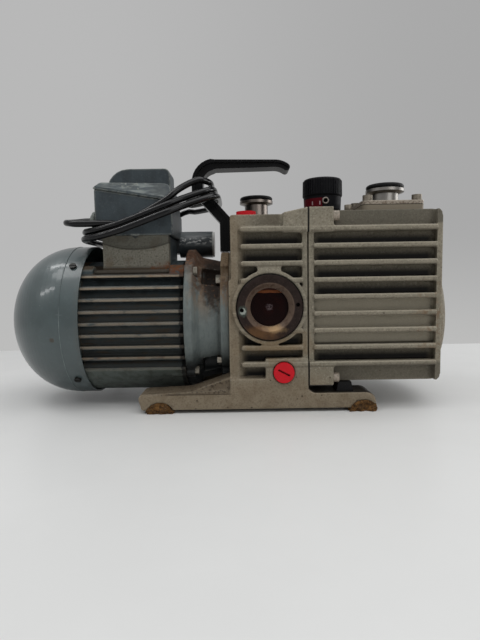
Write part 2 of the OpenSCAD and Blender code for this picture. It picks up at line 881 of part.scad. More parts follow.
module handle() {
    groove_d = 2.5;
    groove_share = 0.36;
    color(black) difference() {
        along_y(-handle_w / 2, handle_w / 2) handle_bar(1);
        both_sides()
            along_y(handle_w / 2 - groove_d, handle_w / 2 + cut) handle_bar(groove_share);
        for (z = handle_screw_z) {
            rod_x(handle_x - handle_stem_t - cut, handle_stem_t + 2 * cut, handle_screw_r + slip, z = z);
            rod_x(handle_x - handle_stem_t - cut, handle_sink + cut, handle_head_r + slip, z = z);
        }
    }
}

module handle_screws() {
    x = handle_x - handle_stem_t + 0.5;
    color(steel) for (z = handle_screw_z) {
        rod_x(x, handle_x + handle_screw_reach - x, handle_screw_r, z = z);
        rod_x(x, handle_sink - 0.5, handle_head_r, z = z);
    }
}

// Pump stack
module stator(x, len, hole_x) {
    difference() {
        stack_plate(x, len);
        rod_x(x - cut, len + 2 * cut, bore_r, z = shaft_h - bore_drop);
        translate([hole_x, valve_y, shaft_h]) cylinder(h = stack_half_z + cut, r = valve_hole_r);
    }
}

module hv_stator() {
    duct_dip = 10;
    color(iron) difference() {
        stator(hv_x, hv_len, valve_x[0]);
        translate([intake_x, intake_y, shaft_h - duct_dip])
            cylinder(h = stack_half_z + duct_dip + cut, r = duct_bore);
    }
}

module fv_stator() {
    color(iron) difference() {
        stator(fv_x, fv_len, valve_x[1]);
        translate([ballast_x, 0, shaft_h]) cylinder(h = stack_half_z + cut, r = 2);
    }
}

module bearing_plate(x, len, bush_r) {
    difference() {
        stack_plate(x, len);
        rod_x(x - cut, len + 2 * cut, bush_r + seat);
    }
}

module front_bearing_plate() {
    color(iron) bearing_plate(stack_x, front_plate_t, journal_r + bush_wall);
}

module intermediate_plate() {
    color(iron) bearing_plate(mid_x, mid_plate_t, mid_journal_r + bush_wall);
}

module rear_bearing_plate() {
    color(iron) difference() {
        stack_plate(rear_x, rear_plate_t);
        rod_x(rear_x - cut, rear_plate_t - 2 + cut, journal_r + bush_wall + seat);
    }
}

module bush(x, len, r) {
    difference() {
        rod_x(x, len, r + bush_wall);
        rod_x(x - cut, len + 2 * cut, r + run_gap);
    }
}

module bearing_bushes() {
    color([0.60, 0.45, 0.20]) {
        bush(stack_x, front_plate_t, journal_r);
        bush(mid_x, mid_plate_t, mid_journal_r);
        bush(rear_x, rear_plate_t - 2, journal_r);
    }
}

module shaft_seal() {
    x0 = stack_x - seal_w;
    color(black) difference() {
        rod_x(x0, seal_w, seal_r);
        rod_x(x0 - cut, seal_w + 2 * cut, journal_r + run_gap);
    }
}

module stack_bolts() {
    color(steel) stack_bolt_spots() {
        rod_x(stack_x - stack_bolt_grip, stack_end - stack_x + stack_bolt_grip, stack_bolt_r, z = 0);
        hex_x(stack_end, 5, stack_bolt_r * 1.8, 0, 0);
    }
}

// A leaf lies on each outlet, with a stop plate screwed down over one end
module exhaust_valves() {
    color(steel) for (i = [0, 1])
        translate([valve_x[i], valve_y, stack_top]) rotate([0, 0, leaf_turn[i]]) {
            translate([-leaf[0] / 2 + 9, -leaf[1] / 2, 0]) cube([leaf[0] - 9, leaf[1], leaf[2]]);
            translate([-leaf[0] / 2, -leaf[1] / 2, 0]) cube([8, leaf[1], leaf[2] + stop_t]);
        }
}

module demister() {
    color([0.75, 0.70, 0.55]) translate([exhaust_x, exhaust_y, case_top - demister_len]) difference() {
        cylinder(h = demister_len, r = demister_r);
        translate([0, 0, 6]) cylinder(h = demister_len, r = port_bore_r - 2);
    }
}

// Gas ballast
module gas_ballast_valve() {
    color(steel) translate([ballast_x, 0, 0]) difference() {
        rotate_extrude()
            polygon([[0, stack_top], [ballast_r, stack_top], [ballast_r, case_top],
                [knob_r - 4, case_top], [knob_r - 4, knob_z - knob_gap], [neck_r, knob_z - knob_gap],
                [neck_r, neck_top], [0, neck_top]]);
        translate([0, 0, stack_top - cut]) cylinder(h = knob_z - stack_top, r = 2);
    }
}

module gas_ballast_knob() {
    skirt_h = 15;
    skirt_r = knob_r - 1.2;
    rib_d = 0.8;
    air_z = 9;
    color(black) translate([ballast_x, 0, knob_z]) difference() {
        rotate_extrude()
            polygon([[neck_r + run_gap, 0], [skirt_r - 0.6, 0], [skirt_r, skirt_h],
                [knob_r - 0.4, skirt_h + 1], [knob_r, skirt_h + 2], [knob_r - 0.3, knob_h - 2],
                [knob_r - 2, knob_h], [0, knob_h], [0, knob_h - 6.5], [neck_r + run_gap, knob_h - 6.5]]);
        for (i = [0:knob_ribs - 1]) rotate([0, 0, i * 360 / knob_ribs])
            translate([knob_r - rib_d, -0.6, skirt_h + 2.5]) cube([2, 1.2, knob_h]);
        translate([0, 0, air_z]) rotate([90, 0, 0]) translate([0, 0, neck_r + 3])
            cylinder(h = knob_r, r = 4);
    }
}

// Rotors, at rest with their vanes level and drawn in
module rotor_slots(x, len) {
    for (s = [-1, 1])
        translate([x - cut, 0, shaft_h]) mirror([0, s < 0 ? 1 : 0, 0])
            translate([0, rotor_r - slot_depth, -slot_w / 2])
                cube([len + 2 * cut, slot_depth + cut, slot_w]);
}

module hv_rotor() {
    x0 = hv_x + end_gap;
    x1 = mid_x - end_gap;
    split = (mid_x + fv_x) / 2;
    color(steel) {
        difference() {
            rod_x(x0, x1 - x0, rotor_r);
            rotor_slots(x0, x1 - x0);
        }
        rod_x(pump_shaft_x, x0 - pump_shaft_x, journal_r);
        rod_x(x1, split - seat - x1, mid_journal_r);
        intersection() {
            rod_x(x1, split + tang_len - x1, mid_journal_r - 1);
            box_at(x1, -rotor_r, shaft_h - tang_w / 2, split + tang_len, rotor_r, shaft_h + tang_w / 2);
        }
    }
}

module fv_rotor() {
    x0 = fv_x + end_gap;
    x1 = rear_x - end_gap;
    split = (mid_x + fv_x) / 2;
    color(steel) difference() {
        union() {
            difference() {
                rod_x(x0, x1 - x0, rotor_r);
                rotor_slots(x0, x1 - x0);
            }
            rod_x(split + seat, x0 - split, mid_journal_r);
            rod_x(x1, rear_x + rear_journal_len - x1, journal_r);
        }
        box_at(split - cut, -mid_journal_r - cut, shaft_h - tang_w / 2 - slip,
            split + tang_len + 0.3, mid_journal_r + cut, shaft_h + tang_w / 2 + slip);
    }
}

// One vane, drawn in flush with its rotor; side -1 is the front and 1 the back
module vane(x0, x1, side) {
    tip = vane_t / 2;
    color([0.35, 0.22, 0.14]) translate([0, 0, shaft_h]) mirror([0, side < 0 ? 1 : 0, 0])
        along_x(x0, x1 - x0)
            polygon(concat([[vane_tip - vane_h, tip], [vane_tip - vane_h, -tip]],
                arc(vane_tip - tip, 0, tip, -90, 90, 8)));
}

vane_trim = 0.1;
module hv_vane_a() { vane(hv_x + end_gap + vane_trim, mid_x - end_gap - vane_trim, -1); }
module hv_vane_b() { vane(hv_x + end_gap + vane_trim, mid_x - end_gap - vane_trim, 1); }
module fv_vane_a() { vane(fv_x + end_gap + vane_trim, rear_x - end_gap - vane_trim, -1); }
module fv_vane_b() { vane(fv_x + end_gap + vane_trim, rear_x - end_gap - vane_trim, 1); }

// Jaw coupling
function wedge(r0, r1, a, w) =
    concat(arc(0, 0, r1, a - w / 2, a + w / 2, 4), arc(0, 0, r0, a + w / 2, a - w / 2, 4));

// A disc from x0 to x1 with jaws that start inside it and end free
module coupling_hub(x0, x1, jaws_x, bore, start) {
    difference() {
        union() {
            rod_x(x0, x1 - x0, hub_r);
            for (i = [0:jaws - 1])
                translate([0, 0, shaft_h]) along_x(jaws_x, jaw_len)
                    polygon(wedge(hub_r * 0.5, hub_r - seat, start + i * 360 / jaws, jaw_angle));
        }
        rod_x(x0 - cut, x1 - x0 + 2 * cut, bore + seat);
    }
}

module motor_coupling_hub() {
    color(iron) coupling_hub(motor_hub_x, jaw_x, jaw_x - jaw_gap, shaft_r, 90);
}

module pump_coupling_hub() {
    color(iron) coupling_hub(pump_disc_x, pump_hub_end, jaw_x + jaw_gap, journal_r, 270);
}

module coupling_spider() {
    color([0.55, 0.12, 0.08]) translate([0, 0, shaft_h])
        along_x(jaw_x + jaw_gap, jaw_len - 2 * jaw_gap) difference() {
            union() {
                circle(r = hub_r * 0.5 - jaw_gap);
                for (i = [0:2 * jaws - 1])
                    polygon(wedge(hub_r * 0.4, hub_r - 0.5, i * 180 / jaws, leg_angle));
            }
            circle(r = hub_r * 0.4 + jaw_gap);
        }
}

// Motor
frame_fin_w = 3.6;
saddle_turn = [218, 322];
pedestal_foot = shaft_h + ((frame_fins - 1) * frame_fin_pitch + frame_fin_w) / 2;
pedestal_flare = 13;

module frame_outline() {
    circle(r = core_r);
    intersection() {
        circle(r = frame_r);
        for (i = [0:frame_fins - 1])
            translate([-frame_r, (i - (frame_fins - 1) / 2) * frame_fin_pitch - frame_fin_w / 2])
                square([2 * frame_r, frame_fin_w]);
    }
    polygon(concat([[0, 0]], arc(0, 0, frame_r + 2, saddle_turn[0], saddle_turn[1], 16)));
}

// Webs that carry the lugs of the tie bolts on the core
module lug_webs(x) {
    half = lug_r - 2;
    for (a = [45:90:315])
        translate([x + 1, 0, shaft_h]) rotate([a, 0, 0])
            translate([0, core_r - 2, -half])
                cube([lug_len - 2, tie_radius - tie_r - core_r, 2 * half]);
}

module motor_frame() {
    color(paint_blue) difference() {
        union() {
            translate([0, 0, shaft_h]) along_x(frame_x, frame_len) frame_outline();
            box_at(pedestal_x, pedestal_front, shaft_h,
                pedestal_x + pedestal_len, pedestal_back, pedestal_top);
            along_x(pedestal_x, pedestal_len)
                polygon(concat([[pedestal_front + cut, pedestal_foot - 1]],
                    arc(pedestal_front - pedestal_flare, pedestal_foot + pedestal_flare,
                        pedestal_flare, 0, -90),
                    [[pedestal_front - pedestal_flare, pedestal_foot - 1]]));
            intersection() {
                rod_y(pedestal_front - collar_t, pedestal_front + cut, collar_r,
                    pedestal_mid, collar_z + collar_r);
                box_at(pedestal_x, -half_w, collar_z, pedestal_x + pedestal_len, 0, pedestal_top);
            }
            for (x = [frame_x, bell_x - lug_len]) {
                diagonals(tie_radius) rod_x(x, lug_len, lug_r, z = 0);
                lug_webs(x);
            }
        }
        rod_x(frame_x - cut, frame_len + 2 * cut, frame_bore);
        diagonals(tie_radius) rod_x(frame_x - cut, frame_len + 2 * cut, tie_r + slip, z = 0);
        translate([pedestal_mid, cable_hole_y, shaft_h + frame_bore - 4])
            cylinder(h = pedestal_top, r = cable_hole_r);
    }
}

module stator_core() {
    color(iron) difference() {
        rod_x(core_x, core_len, frame_bore - seat);
        rod_x(core_x - cut, core_len + 2 * cut, stator_bore);
    }
}

module stator_windings() {
    turn = 15;
    color([0.60, 0.30, 0.12]) for (x = [core_x - turn, core_x + core_len])
        round_shaft() round_box(winding_r[0], x, winding_r[1], x + turn, 5);
}

module drive_end_shield() {
    color(paint_blue) difference() {
        union() {
            round_shaft()
                polygon([[shaft_r + 4, web_x + web_t], [bell_bore, web_x + web_t], [bell_bore, mount_x],
                    [flange_r, mount_x], [flange_r, flange_x], [core_r - 2, flange_x],
                    [core_r, flange_x - 8], [core_r + 3, web_x + 10], [frame_r, bell_x + 8],
                    [frame_r, bell_x], [frame_bore + 2, bell_x], [frame_bore + 2, web_x],
                    [bearing_r + 5, web_x], [bearing_r + 5, web_x - bearing_w],
                    [bearing_r + seat, web_x - bearing_w], [bearing_r + seat, web_x],
                    [shaft_r + 4, web_x]]);
            diagonals(tie_radius) rod_x(bell_x, lug_t, lug_r, z = 0);
        }
        diagonals(tie_radius) rod_x(bell_x - cut, lug_t + 2 * cut, tie_r + slip, z = 0);
        diagonals(tie_radius) rod_x(bell_x + lug_t, bell_len, lug_r, z = 0);
        diagonals(flange_bolt_radius + 4) rod_x(flange_x - 20, 20, 12, z = 0);
        diagonals(flange_bolt_radius)
            rod_x(flange_x - cut, flange_t + 2 * cut, flange_bolt_r + slip, z = 0);
    }
}

module flange_bolts() {
    color(steel) diagonals(flange_bolt_radius) {
        rod_x(flange_x, flange_t + left_wall - 3, flange_bolt_r, z = 0);
        hex_x(flange_x - 5, 5, flange_bolt_r * 1.9, 0, 0);
    }
}

module fan_end_shield() {
    color(paint_blue) difference() {
        union() {
            round_shaft()
                polygon([[bearing_r + seat, fan_shield_x], [core_r, fan_shield_x], [core_r, frame_x],
                    [bearing_r + 5, frame_x], [bearing_r + 5, frame_x + bearing_w - 4],
                    [bearing_r + seat, frame_x + bearing_w - 4]]);
            diagonals(tie_radius) rod_x(fan_shield_x, fan_shield_t, lug_r, z = 0);
            intersection() {
                rod_x(fan_shield_x, fan_shield_t, cover_in - seat);
                for (a = [45:90:315])
                    translate([fan_shield_x, 0, shaft_h]) rotate([a, 0, 0])
                        translate([0, core_r - 4, 1 - lug_r])
                            cube([fan_shield_t, cover_in, 2 * lug_r - 2]);
            }
        }
        diagonals(tie_radius) rod_x(fan_shield_x - cut, fan_shield_t + 2 * cut, tie_r + slip, z = 0);
        cover_screw_spots()
            translate([0, 0, -cut]) cylinder(h = cover_screw_len + 2 * cut, r = cover_screw_r + slip);
    }
}

module motor_bearings() {
    color(steel) for (x = [web_x - bearing_w, frame_x + bearing_w - 4 - bearing_w])
        difference() {
            rod_x(x, bearing_w, bearing_r);
            rod_x(x - cut, bearing_w + 2 * cut, shaft_r + run_gap);
        }
}

module tie_bolts() {
    color(steel) diagonals(tie_radius) {
        rod_x(fan_shield_x, bell_x + lug_t + nut_t - fan_shield_x, tie_r, z = 0);
        hex_x(bell_x + lug_t, nut_t, nut_r, 0, 0);
        hex_x(fan_shield_x - nut_t, nut_t, nut_r, 0, 0);
    }
}

// Screw places of the fan cover, with Z pointing outwards
module cover_screw_spots() {
    for (a = [45:90:315])
        translate([cover_screw_x, 0, shaft_h]) rotate([a - 90, 0, 0])
            translate([0, 0, cover_in - cover_screw_len]) children();
}

// A point of the dome's outline, which is a little fuller than an ellipse
function dome_point(r, len, a) =
    [r * pow(sin(a), dome_full), seam_x - len * pow(cos(a), dome_full)];

module fan_cover() {
    slots = 14;
    slot_in = 14;
    slot_out = 42;
    steps = 24;
    outer = [for (i = [steps:-1:0]) dome_point(cover_r, dome_len, i * 90 / steps)];
    inner = [for (i = [0:steps]) dome_point(cover_in, dome_len - cover_t, i * 90 / steps)];
    color(paint_blue) difference() {
        round_shaft() polygon(concat([[cover_in, rim_x], [cover_r, rim_x]], outer, inner));
        for (i = [0:slots - 1])
            translate([dome_x - cut, 0, shaft_h]) rotate([i * 360 / slots, 0, 0])
                translate([0, slot_in, -2]) cube([dome_len / 3, slot_out - slot_in, 4]);
        cover_screw_spots() cylinder(h = cover_screw_len + cover_t + cut, r = cover_screw_r + slip);
    }
}

module fan_cover_screws() {
    color(iron) cover_screw_spots() difference() {
        union() {
            cylinder(h = cover_screw_len + cover_t + cover_head_h / 2, r = cover_screw_r);
            translate([0, 0, cover_screw_len + cover_t + seat])
                cylinder(h = cover_head_h, r = cover_head_r);
        }
        translate([-cover_head_r - cut, -0.5, cover_screw_len + cover_t + cover_head_h * 0.64])
            cube([2 * (cover_head_r + cut), 1, cover_head_h]);
    }
}

module motor_shaft() {
    color(steel) rod_x(shaft_left, shaft_right - shaft_left, shaft_r);
}

module motor_rotor_core() {
    color(iron) difference() {
        rod_x(core_x, core_len, rotor_core_r);
        rod_x(core_x - cut, core_len + 2 * cut, shaft_r + seat);
    }
}

module cooling_fan() {
    hub = shaft_r + 5;
    blade_t = 2.5;
    color(black) difference() {
        union() {
            rod_x(fan_x, fan_w, hub);
            rod_x(fan_x + fan_w - 3, 3, fan_r);
            for (i = [0:fan_blades - 1])
                translate([fan_x, 0, shaft_h]) rotate([i * 360 / fan_blades, 0, 0])
                    translate([0, hub - 2, -blade_t / 2]) cube([fan_w - 1, fan_r - hub + 1, blade_t]);
        }
        rod_x(fan_x - cut, fan_w + 2 * cut, shaft_r + seat);
    }
}

// Terminal box
function seam_z(x) = seam_left + (seam_right - seam_left) * (x - box_x) / box_len;

module terminal_box() {
    x1 = box_x + box_len;
    color(dark_blue) difference() {
        along_y(box_front, rear_box_y)
            polygon([[box_x, pedestal_top], [x1, pedestal_top], [x1, seam_z(x1)], [box_x, seam_z(box_x)]]);
        box_at(box_x + box_wall, box_front + box_wall, pedestal_top + box_wall,
            x1 - box_wall, rear_box_y - box_wall, lid_top);
    }
    color(dark_blue) difference() {
        translate([pedestal_mid, box_front + 5, pedestal_top - drip_h])
            cylinder(h = drip_h + cut, r1 = drip_r[0], r2 = drip_r[1]);
        box_at(box_x, pedestal_front - collar_t - slip, shaft_h, x1, 0, pedestal_top);
    }
}

module terminal_box_lid() {
    x0 = box_x - lid_lip;
    x1 = box_x + box_len + lid_lip;
    r = 9;
    fall = (seam_left - seam_right) / box_len;
    steep = norm([fall, lid_slope, 1]);
    tilt = asin(lid_slope / steep);
    slope_turn = [tilt, asin(fall / steep / cos(tilt)), 0];
    color(dark_blue) difference() {
        along_y(box_front - lid_lip, rear_box_y - seat)
            polygon(concat([[x0, seam_z(x0)], [x1, seam_z(x1)]],
                arc(x1 - r - 3, lid_top - r, r, 0, 90), arc(x0 + r, lid_top - r / 2, r / 2, 90, 150)));
        translate([x0, box_front - lid_lip, seam_z(x0) + lid_skirt]) rotate(slope_turn)
            translate([-box_len, -box_len, 0]) cube(3 * box_len);
        along_y(box_front + lid_depth, rear_box_y - box_wall)
            polygon([[box_x + box_wall, seam_z(box_x) - 20], [x1 - 6, seam_z(x1) - 6],
                [x1 - 18, lid_top - box_wall], [box_x + box_wall + 4, lid_top - box_wall]]);
    }
}

module rear_outline(inset) {
    x0 = rear_box_x + inset;
    x1 = rear_box_x + rear_box_len - inset;
    top = rear_box_top - inset;
    polygon(concat([[x0, rear_box_bottom], [x1 + rear_box_step, rear_box_bottom],
        [x1 + rear_box_step, rear_step_z - inset], [x1, rear_step_z + 6 - inset]],
        arc(x1 - 7, top - 7, 7, 0, 90), arc(x0 + 26, top - 26, 26, 90, 180)));
}

module capacitor_box() {
    wall = 2.5;
    color(dark_blue) difference() {
        along_y(rear_box_y, rear_box_y + rear_box_d) rear_outline(0);
        difference() {
            along_y(rear_box_y + wall, rear_box_y + rear_box_d - wall) rear_outline(wall);
            box_at(rear_box_x, 0, rear_box_bottom, capacitor_x, half_w, rear_box_bottom + wall);
        }
    }
}

module capacitor() {
    cap = 2;
    color([0.16, 0.20, 0.22]) translate([0, 0, capacitor_z - shaft_h]) {
        rod_x(capacitor_x, capacitor_len - cap, capacitor_r, capacitor_y);
        rod_x(capacitor_x + capacitor_len - cap, cap, capacitor_r - 0.5, capacitor_y);
    }
}

module cable_gland() {
    tip = cord_d / 2 + 2.5;
    color(black) translate([box_x, gland_y, gland_z]) rotate([0, -90, 0]) {
        cylinder(h = 4, r = 10.5, $fn = 6);
        rotate_extrude()
            polygon([[0, 3], [8.5, 3], [8.5, 4.5], [10, 4.5], [10, gland_len - 3],
                [tip, gland_len], [0, gland_len]]);
    }
}

// Mains cord. Each turn runs along the front of the terminal box, round the handle and back
// behind the boxes.
wind_x = [-150.5, -14];
wind_y = [-51.5, 75];
wind_z_first = 193;
wind_z_left = 185.4;
wind_z_right = 239.2;
wind_spread = 3.9;
back_hold = 0.62;
wind_flat = 0.5;
wind_steps = 36;
taper_from = -54;
taper_to = 0.7;
wind_start = 75;
wind_end = cord_turns * 360 - 75;
wind_straight = 7;

function clamp01(v) = min(1, max(0, v));
function eased(v) = let (c = clamp01(v)) 0.6 * c + 0.4 * c * c * (3 - 2 * c);
function blunt(v) = sign(v) * pow(abs(v), wind_flat);
function left_z(turn) = turn == 0 ? wind_z_first : wind_z_left - cord_step * (turn - 1);
function right_z(turn) = wind_z_right - cord_step * turn;
function right_x(turn) = wind_x[1] + wind_spread * turn;

// How far the front run has climbed; the first turn stays low until it has passed the middle of the box
function climb(turn, share) =
    turn == 0 ? eased((share - 0.42) / 0.5) : pow(clamp01((share - 0.12) / 0.88), 1.35);

// A point of the winding at the angle t, which counts on over the turns
function wind_point(t) =
    let (
        turn = floor(t / 360),
        front = sin(t) > 0,
        share = (1 - blunt(cos(t))) / 2,
        x = wind_x[0] + (right_x(turn) - wind_x[0]) * share,
        narrow = 1 + (taper_to - 1) * eased((x - taper_from) / (wind_x[1] - taper_from)),
        grow = cord_step * t / 360,
        y = front ? wind_y[0] * narrow - grow : wind_y[1] * narrow + grow,
        z0 = front ? left_z(turn) : left_z(turn + 1),
        z = z0 + (right_z(turn) - z0) * (front ? climb(turn, share) : eased(share / back_hold))
    )
    [x, y * abs(blunt(sin(t))), z];

// Smooth curve through a list of points
function curve_at(a, b, c, d, u) =
    0.5 * (2 * b + (c - a) * u + (2 * a - 5 * b + 4 * c - d) * u * u + (3 * b - a - 3 * c + d) * u * u * u);
function smooth(p, n) =
    let (m = len(p) - 1)
    concat([for (i = [0:m - 1], k = [0:n - 1])
        curve_at(p[max(i - 1, 0)], p[i], p[i + 1], p[min(i + 2, m)], k / n)], [p[m]]);

// The cord leaves the gland, turns back in a half circle and becomes the first front run
gland_end = [box_x - gland_len, gland_y, gland_z];
wind_count = round((wind_end - wind_start) / 360 * wind_steps);
wind_turns_path = [for (i = [0:wind_count])
    wind_point(wind_start + (wind_end - wind_start) * i / wind_count)];
wind_last = wind_turns_path[wind_count];
turn_back_r = (gland_y - wind_turns_path[0][1]) / 2;
turn_back = [for (a = [90:30:270])
    gland_end + [-wind_straight + turn_back_r * cos(a), turn_back_r * (sin(a) - 1),
        (wind_z_first - gland_z) * (a - 90) / 180]];
first_run = [box_x, wind_turns_path[0][1], wind_z_first];
wind_exit = wind_last + [-2 * wind_straight, 0, -1];
tail_start = wind_exit - [wind_straight, 0, 0];
winding_path = concat([gland_end], turn_back, [first_run], wind_turns_path, [wind_exit, tail_start]);

// The tail hangs down behind the motor and lies on the table behind the pump
table_z = cord_d / 2 + 0.2;
plug_x = 60;
plug_y = 108;
plug_body_r = 19;
plug_axis_z = plug_body_r + 0.2;
tail_points = [
    tail_start, tail_start - [wind_straight / 2, 0, 0], tail_start - [wind_straight, 0, 0],
    [-163, 92, 177], [-173, 98, 140], [-176, 102, 90], [-168, 106, 44], [-146, 110, 12],
    [-112, 112, table_z], [-70, 112, table_z], [-30, 110, table_z], [5, 108, 6], [30, plug_y, 14],
    [plug_x - 14, plug_y, plug_axis_z], [plug_x - wind_straight, plug_y, plug_axis_z],
    [plug_x, plug_y, plug_axis_z]
];
tail_path = smooth(tail_points, 3);

// Rings of a tube stay square to the path and don't twist
function tangents(p) = [for (i = [0:len(p) - 1]) unit(p[min(i + 1, len(p) - 1)] - p[max(i - 1, 0)])];
function frames(t, i, n) =
    i == len(t) ? [] : let (m = unit(n - (n * t[i]) * t[i])) concat([m], frames(t, i + 1, m));

module tube(path, d, sides) {
    dirs = tangents(path);
    normals = frames(dirs, 0, [0, 0.3, 1]);
    last = len(path) - 1;
    points = [for (i = [0:last], j = [0:sides - 1])
        let (a = j * 360 / sides)
        path[i] + d / 2 * (cos(a) * normals[i] + sin(a) * cross(dirs[i], normals[i]))];
    walls = [for (i = [0:last - 1], j = [0:sides - 1])
        let (k = (j + 1) % sides, a = i * sides, b = a + sides)
        each [[a + j, b + j, b + k], [a + j, b + k, a + k]]];
    ends = [for (j = [1:sides - 2])
        each [[0, j, j + 1], [last * sides, last * sides + j + 1, last * sides + j]]];
    polyhedron(points, concat(walls, ends));
}

function path_length(p) = let (d = [for (i = [1:len(p) - 1]) norm(p[i] - p[i - 1])]) d * [for (v = d) 1];

// Least gap of a tube to itself, on points that lie more than a few diameters apart along it
function self_gap(p, d, skip) =
    min([for (i = [0:len(p) - 1 - skip]) min([for (j = [i + skip:len(p) - 1]) norm(p[i] - p[j])])]) - d;

module mains_cord_winding() {
    fine = smooth(winding_path, 2);
    echo(winding_length = path_length(fine), tail_length = path_length(tail_path));
    echo(winding_self_gap = self_gap(fine, cord_d, 14));
    color(black) tube(winding_path, cord_d, 8);
}

module mains_cord_tail() {
    color(black) tube(tail_path, cord_d, 8);
}

module mains_plug() {
    pin_r = 2.4;
    pin_len = 19;
    pin_y = 9.5;
    color(black) translate([plug_x, plug_y, plug_axis_z]) rotate([0, 90, 0]) {
        rotate_extrude()
            polygon([[0, 0], [5, 0], [7, 14], [13, 24], [17, 30], [plug_body_r, 34], [plug_body_r, 44],
                [plug_body_r - 1, 46], [0, 46]]);
        for (s = [-1, 1]) translate([0, s * pin_y, 46 - 0.01]) cylinder(h = pin_len, r = pin_r);
    }
}

pump_housing();
oil_case();
case_gasket();
case_bolts();
case_buffers();
exhaust_flange();
exhaust_flange_screws();
port_o_rings();
intake_port();
intake_strainer();
oil_fill_plug();
oil_drain_plug();
sight_glass();
sight_glass_gasket();
sight_glass_ring();
handle();
handle_screws();
rubber_feet();
hv_stator();
fv_stator();
front_bearing_plate();
intermediate_plate();
rear_bearing_plate();
bearing_bushes();
shaft_seal();
stack_bolts();
exhaust_valves();
demister();
gas_ballast_valve();
gas_ballast_knob();
hv_rotor();
fv_rotor();
pump_coupling_hub();
hv_vane_a();
hv_vane_b();
fv_vane_a();
fv_vane_b();
motor_shaft();
motor_rotor_core();
cooling_fan();
motor_coupling_hub();
coupling_spider();
motor_frame();
stator_core();
stator_windings();
drive_end_shield();
fan_end_shield();
motor_bearings();
tie_bolts();
fan_cover();
fan_cover_screws();
terminal_box();
terminal_box_lid();
capacitor_box();
capacitor();
cable_gland();
flange_bolts();
mains_cord_winding();
mains_cord_tail();
mains_plug();
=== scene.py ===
"""Rotary vane vacuum pump: the finish of every piece, the mains cord, small trim and a plain studio."""
import json
import math

import bmesh
import bpy
from mathutils import Matrix, Quaternion, Vector


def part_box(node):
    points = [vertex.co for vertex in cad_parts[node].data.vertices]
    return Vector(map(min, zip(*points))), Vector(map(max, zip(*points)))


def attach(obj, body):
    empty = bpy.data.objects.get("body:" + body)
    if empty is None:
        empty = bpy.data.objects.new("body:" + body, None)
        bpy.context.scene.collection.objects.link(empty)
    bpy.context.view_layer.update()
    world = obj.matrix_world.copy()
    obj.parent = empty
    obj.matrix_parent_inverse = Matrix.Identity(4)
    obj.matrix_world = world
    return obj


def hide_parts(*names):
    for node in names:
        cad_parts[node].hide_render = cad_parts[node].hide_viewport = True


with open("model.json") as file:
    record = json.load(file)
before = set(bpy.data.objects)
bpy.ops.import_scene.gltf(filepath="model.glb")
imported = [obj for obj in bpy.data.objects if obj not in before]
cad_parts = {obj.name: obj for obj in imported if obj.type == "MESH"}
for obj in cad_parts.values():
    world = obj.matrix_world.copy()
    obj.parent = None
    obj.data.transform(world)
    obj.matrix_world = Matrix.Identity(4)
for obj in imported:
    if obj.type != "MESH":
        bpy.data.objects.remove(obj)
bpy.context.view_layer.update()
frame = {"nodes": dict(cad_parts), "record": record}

MM = 0.001
NODES = frame["nodes"]
SCENE = bpy.context.scene


# Places on the object, in millimetres, in the part's own frame
SIGHT = (45.4, -86, 105)
RING_R = 33
PIN_R = 27.6
PIN_TURN = math.radians(5)
COLLAR = (-93, -42, 265.5)
COLLAR_R = 98
PEDESTAL_Z = 144
SADDLE_Z = 42
KNOB = (112, 0)
KNOB_BAND_Z = (210.5, 221.5)
DIAL_MARKS = (-131, -107)
SEAM_X = -163.5
SHAFT_Z = 90
EXHAUST_PLATE_TOP = 211
CASE_TOP = 200
FIN_TOP = 183.8
FIN_PITCH = 16.67
FRAME_FIN_TOP = 140.2
FRAME_FIN_PITCH = 12.1
RAIL_TOP = 19
JOINT_X = 84
CASE_END = 216
CASE_STAIN = (206, -85, 84)
GLASS_STAIN = (SIGHT[0] + 8, SIGHT[1], SIGHT[2] - 38)
COVER_DOT = (-171.8, -81, 75.4)
COVER_CHIP = (-178, -10, 169)
LID_SCUFF = (-95, -42, 235)
PEDESTAL_RUST = (-50, -58, PEDESTAL_Z + 2)
SHIELD_POCKET = (-12, -44, 132)
SHIELD_FLANGE_X = (-4.4, -3.8)
BOX_BOTTOM_Z = (180.4, 181.2)
HANDLE_BAR_Z = (246, 250)


def box_mm(node):
    """Lowest and highest corner of a node, in millimetres."""
    low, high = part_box(node)
    return [v / MM for v in low], [v / MM for v in high]


# Camera

PHOTO_SIZE = (480, 640)
FOCAL_PIXELS = 470
SENSOR_MM = 36
CAMERA_PLACE = (0.016, -0.546, 0.131)
CAMERA_PITCH = 85.3
CAMERA_ROLL = -0.9

camera_data = bpy.data.cameras.new("camera")
camera_data.sensor_width = SENSOR_MM
camera_data.lens = FOCAL_PIXELS * SENSOR_MM / max(PHOTO_SIZE)
camera = bpy.data.objects.new("camera", camera_data)
camera.matrix_world = (
    Matrix.Translation(CAMERA_PLACE)
    @ Matrix.Rotation(math.radians(CAMERA_PITCH), 4, "X")
    @ Matrix.Rotation(math.radians(CAMERA_ROLL), 4, "Z")
)
SCENE.collection.objects.link(camera)
SCENE.camera = camera


# Mains cord: three turns round the boxes and the handle, then a tail to the plug behind the pump

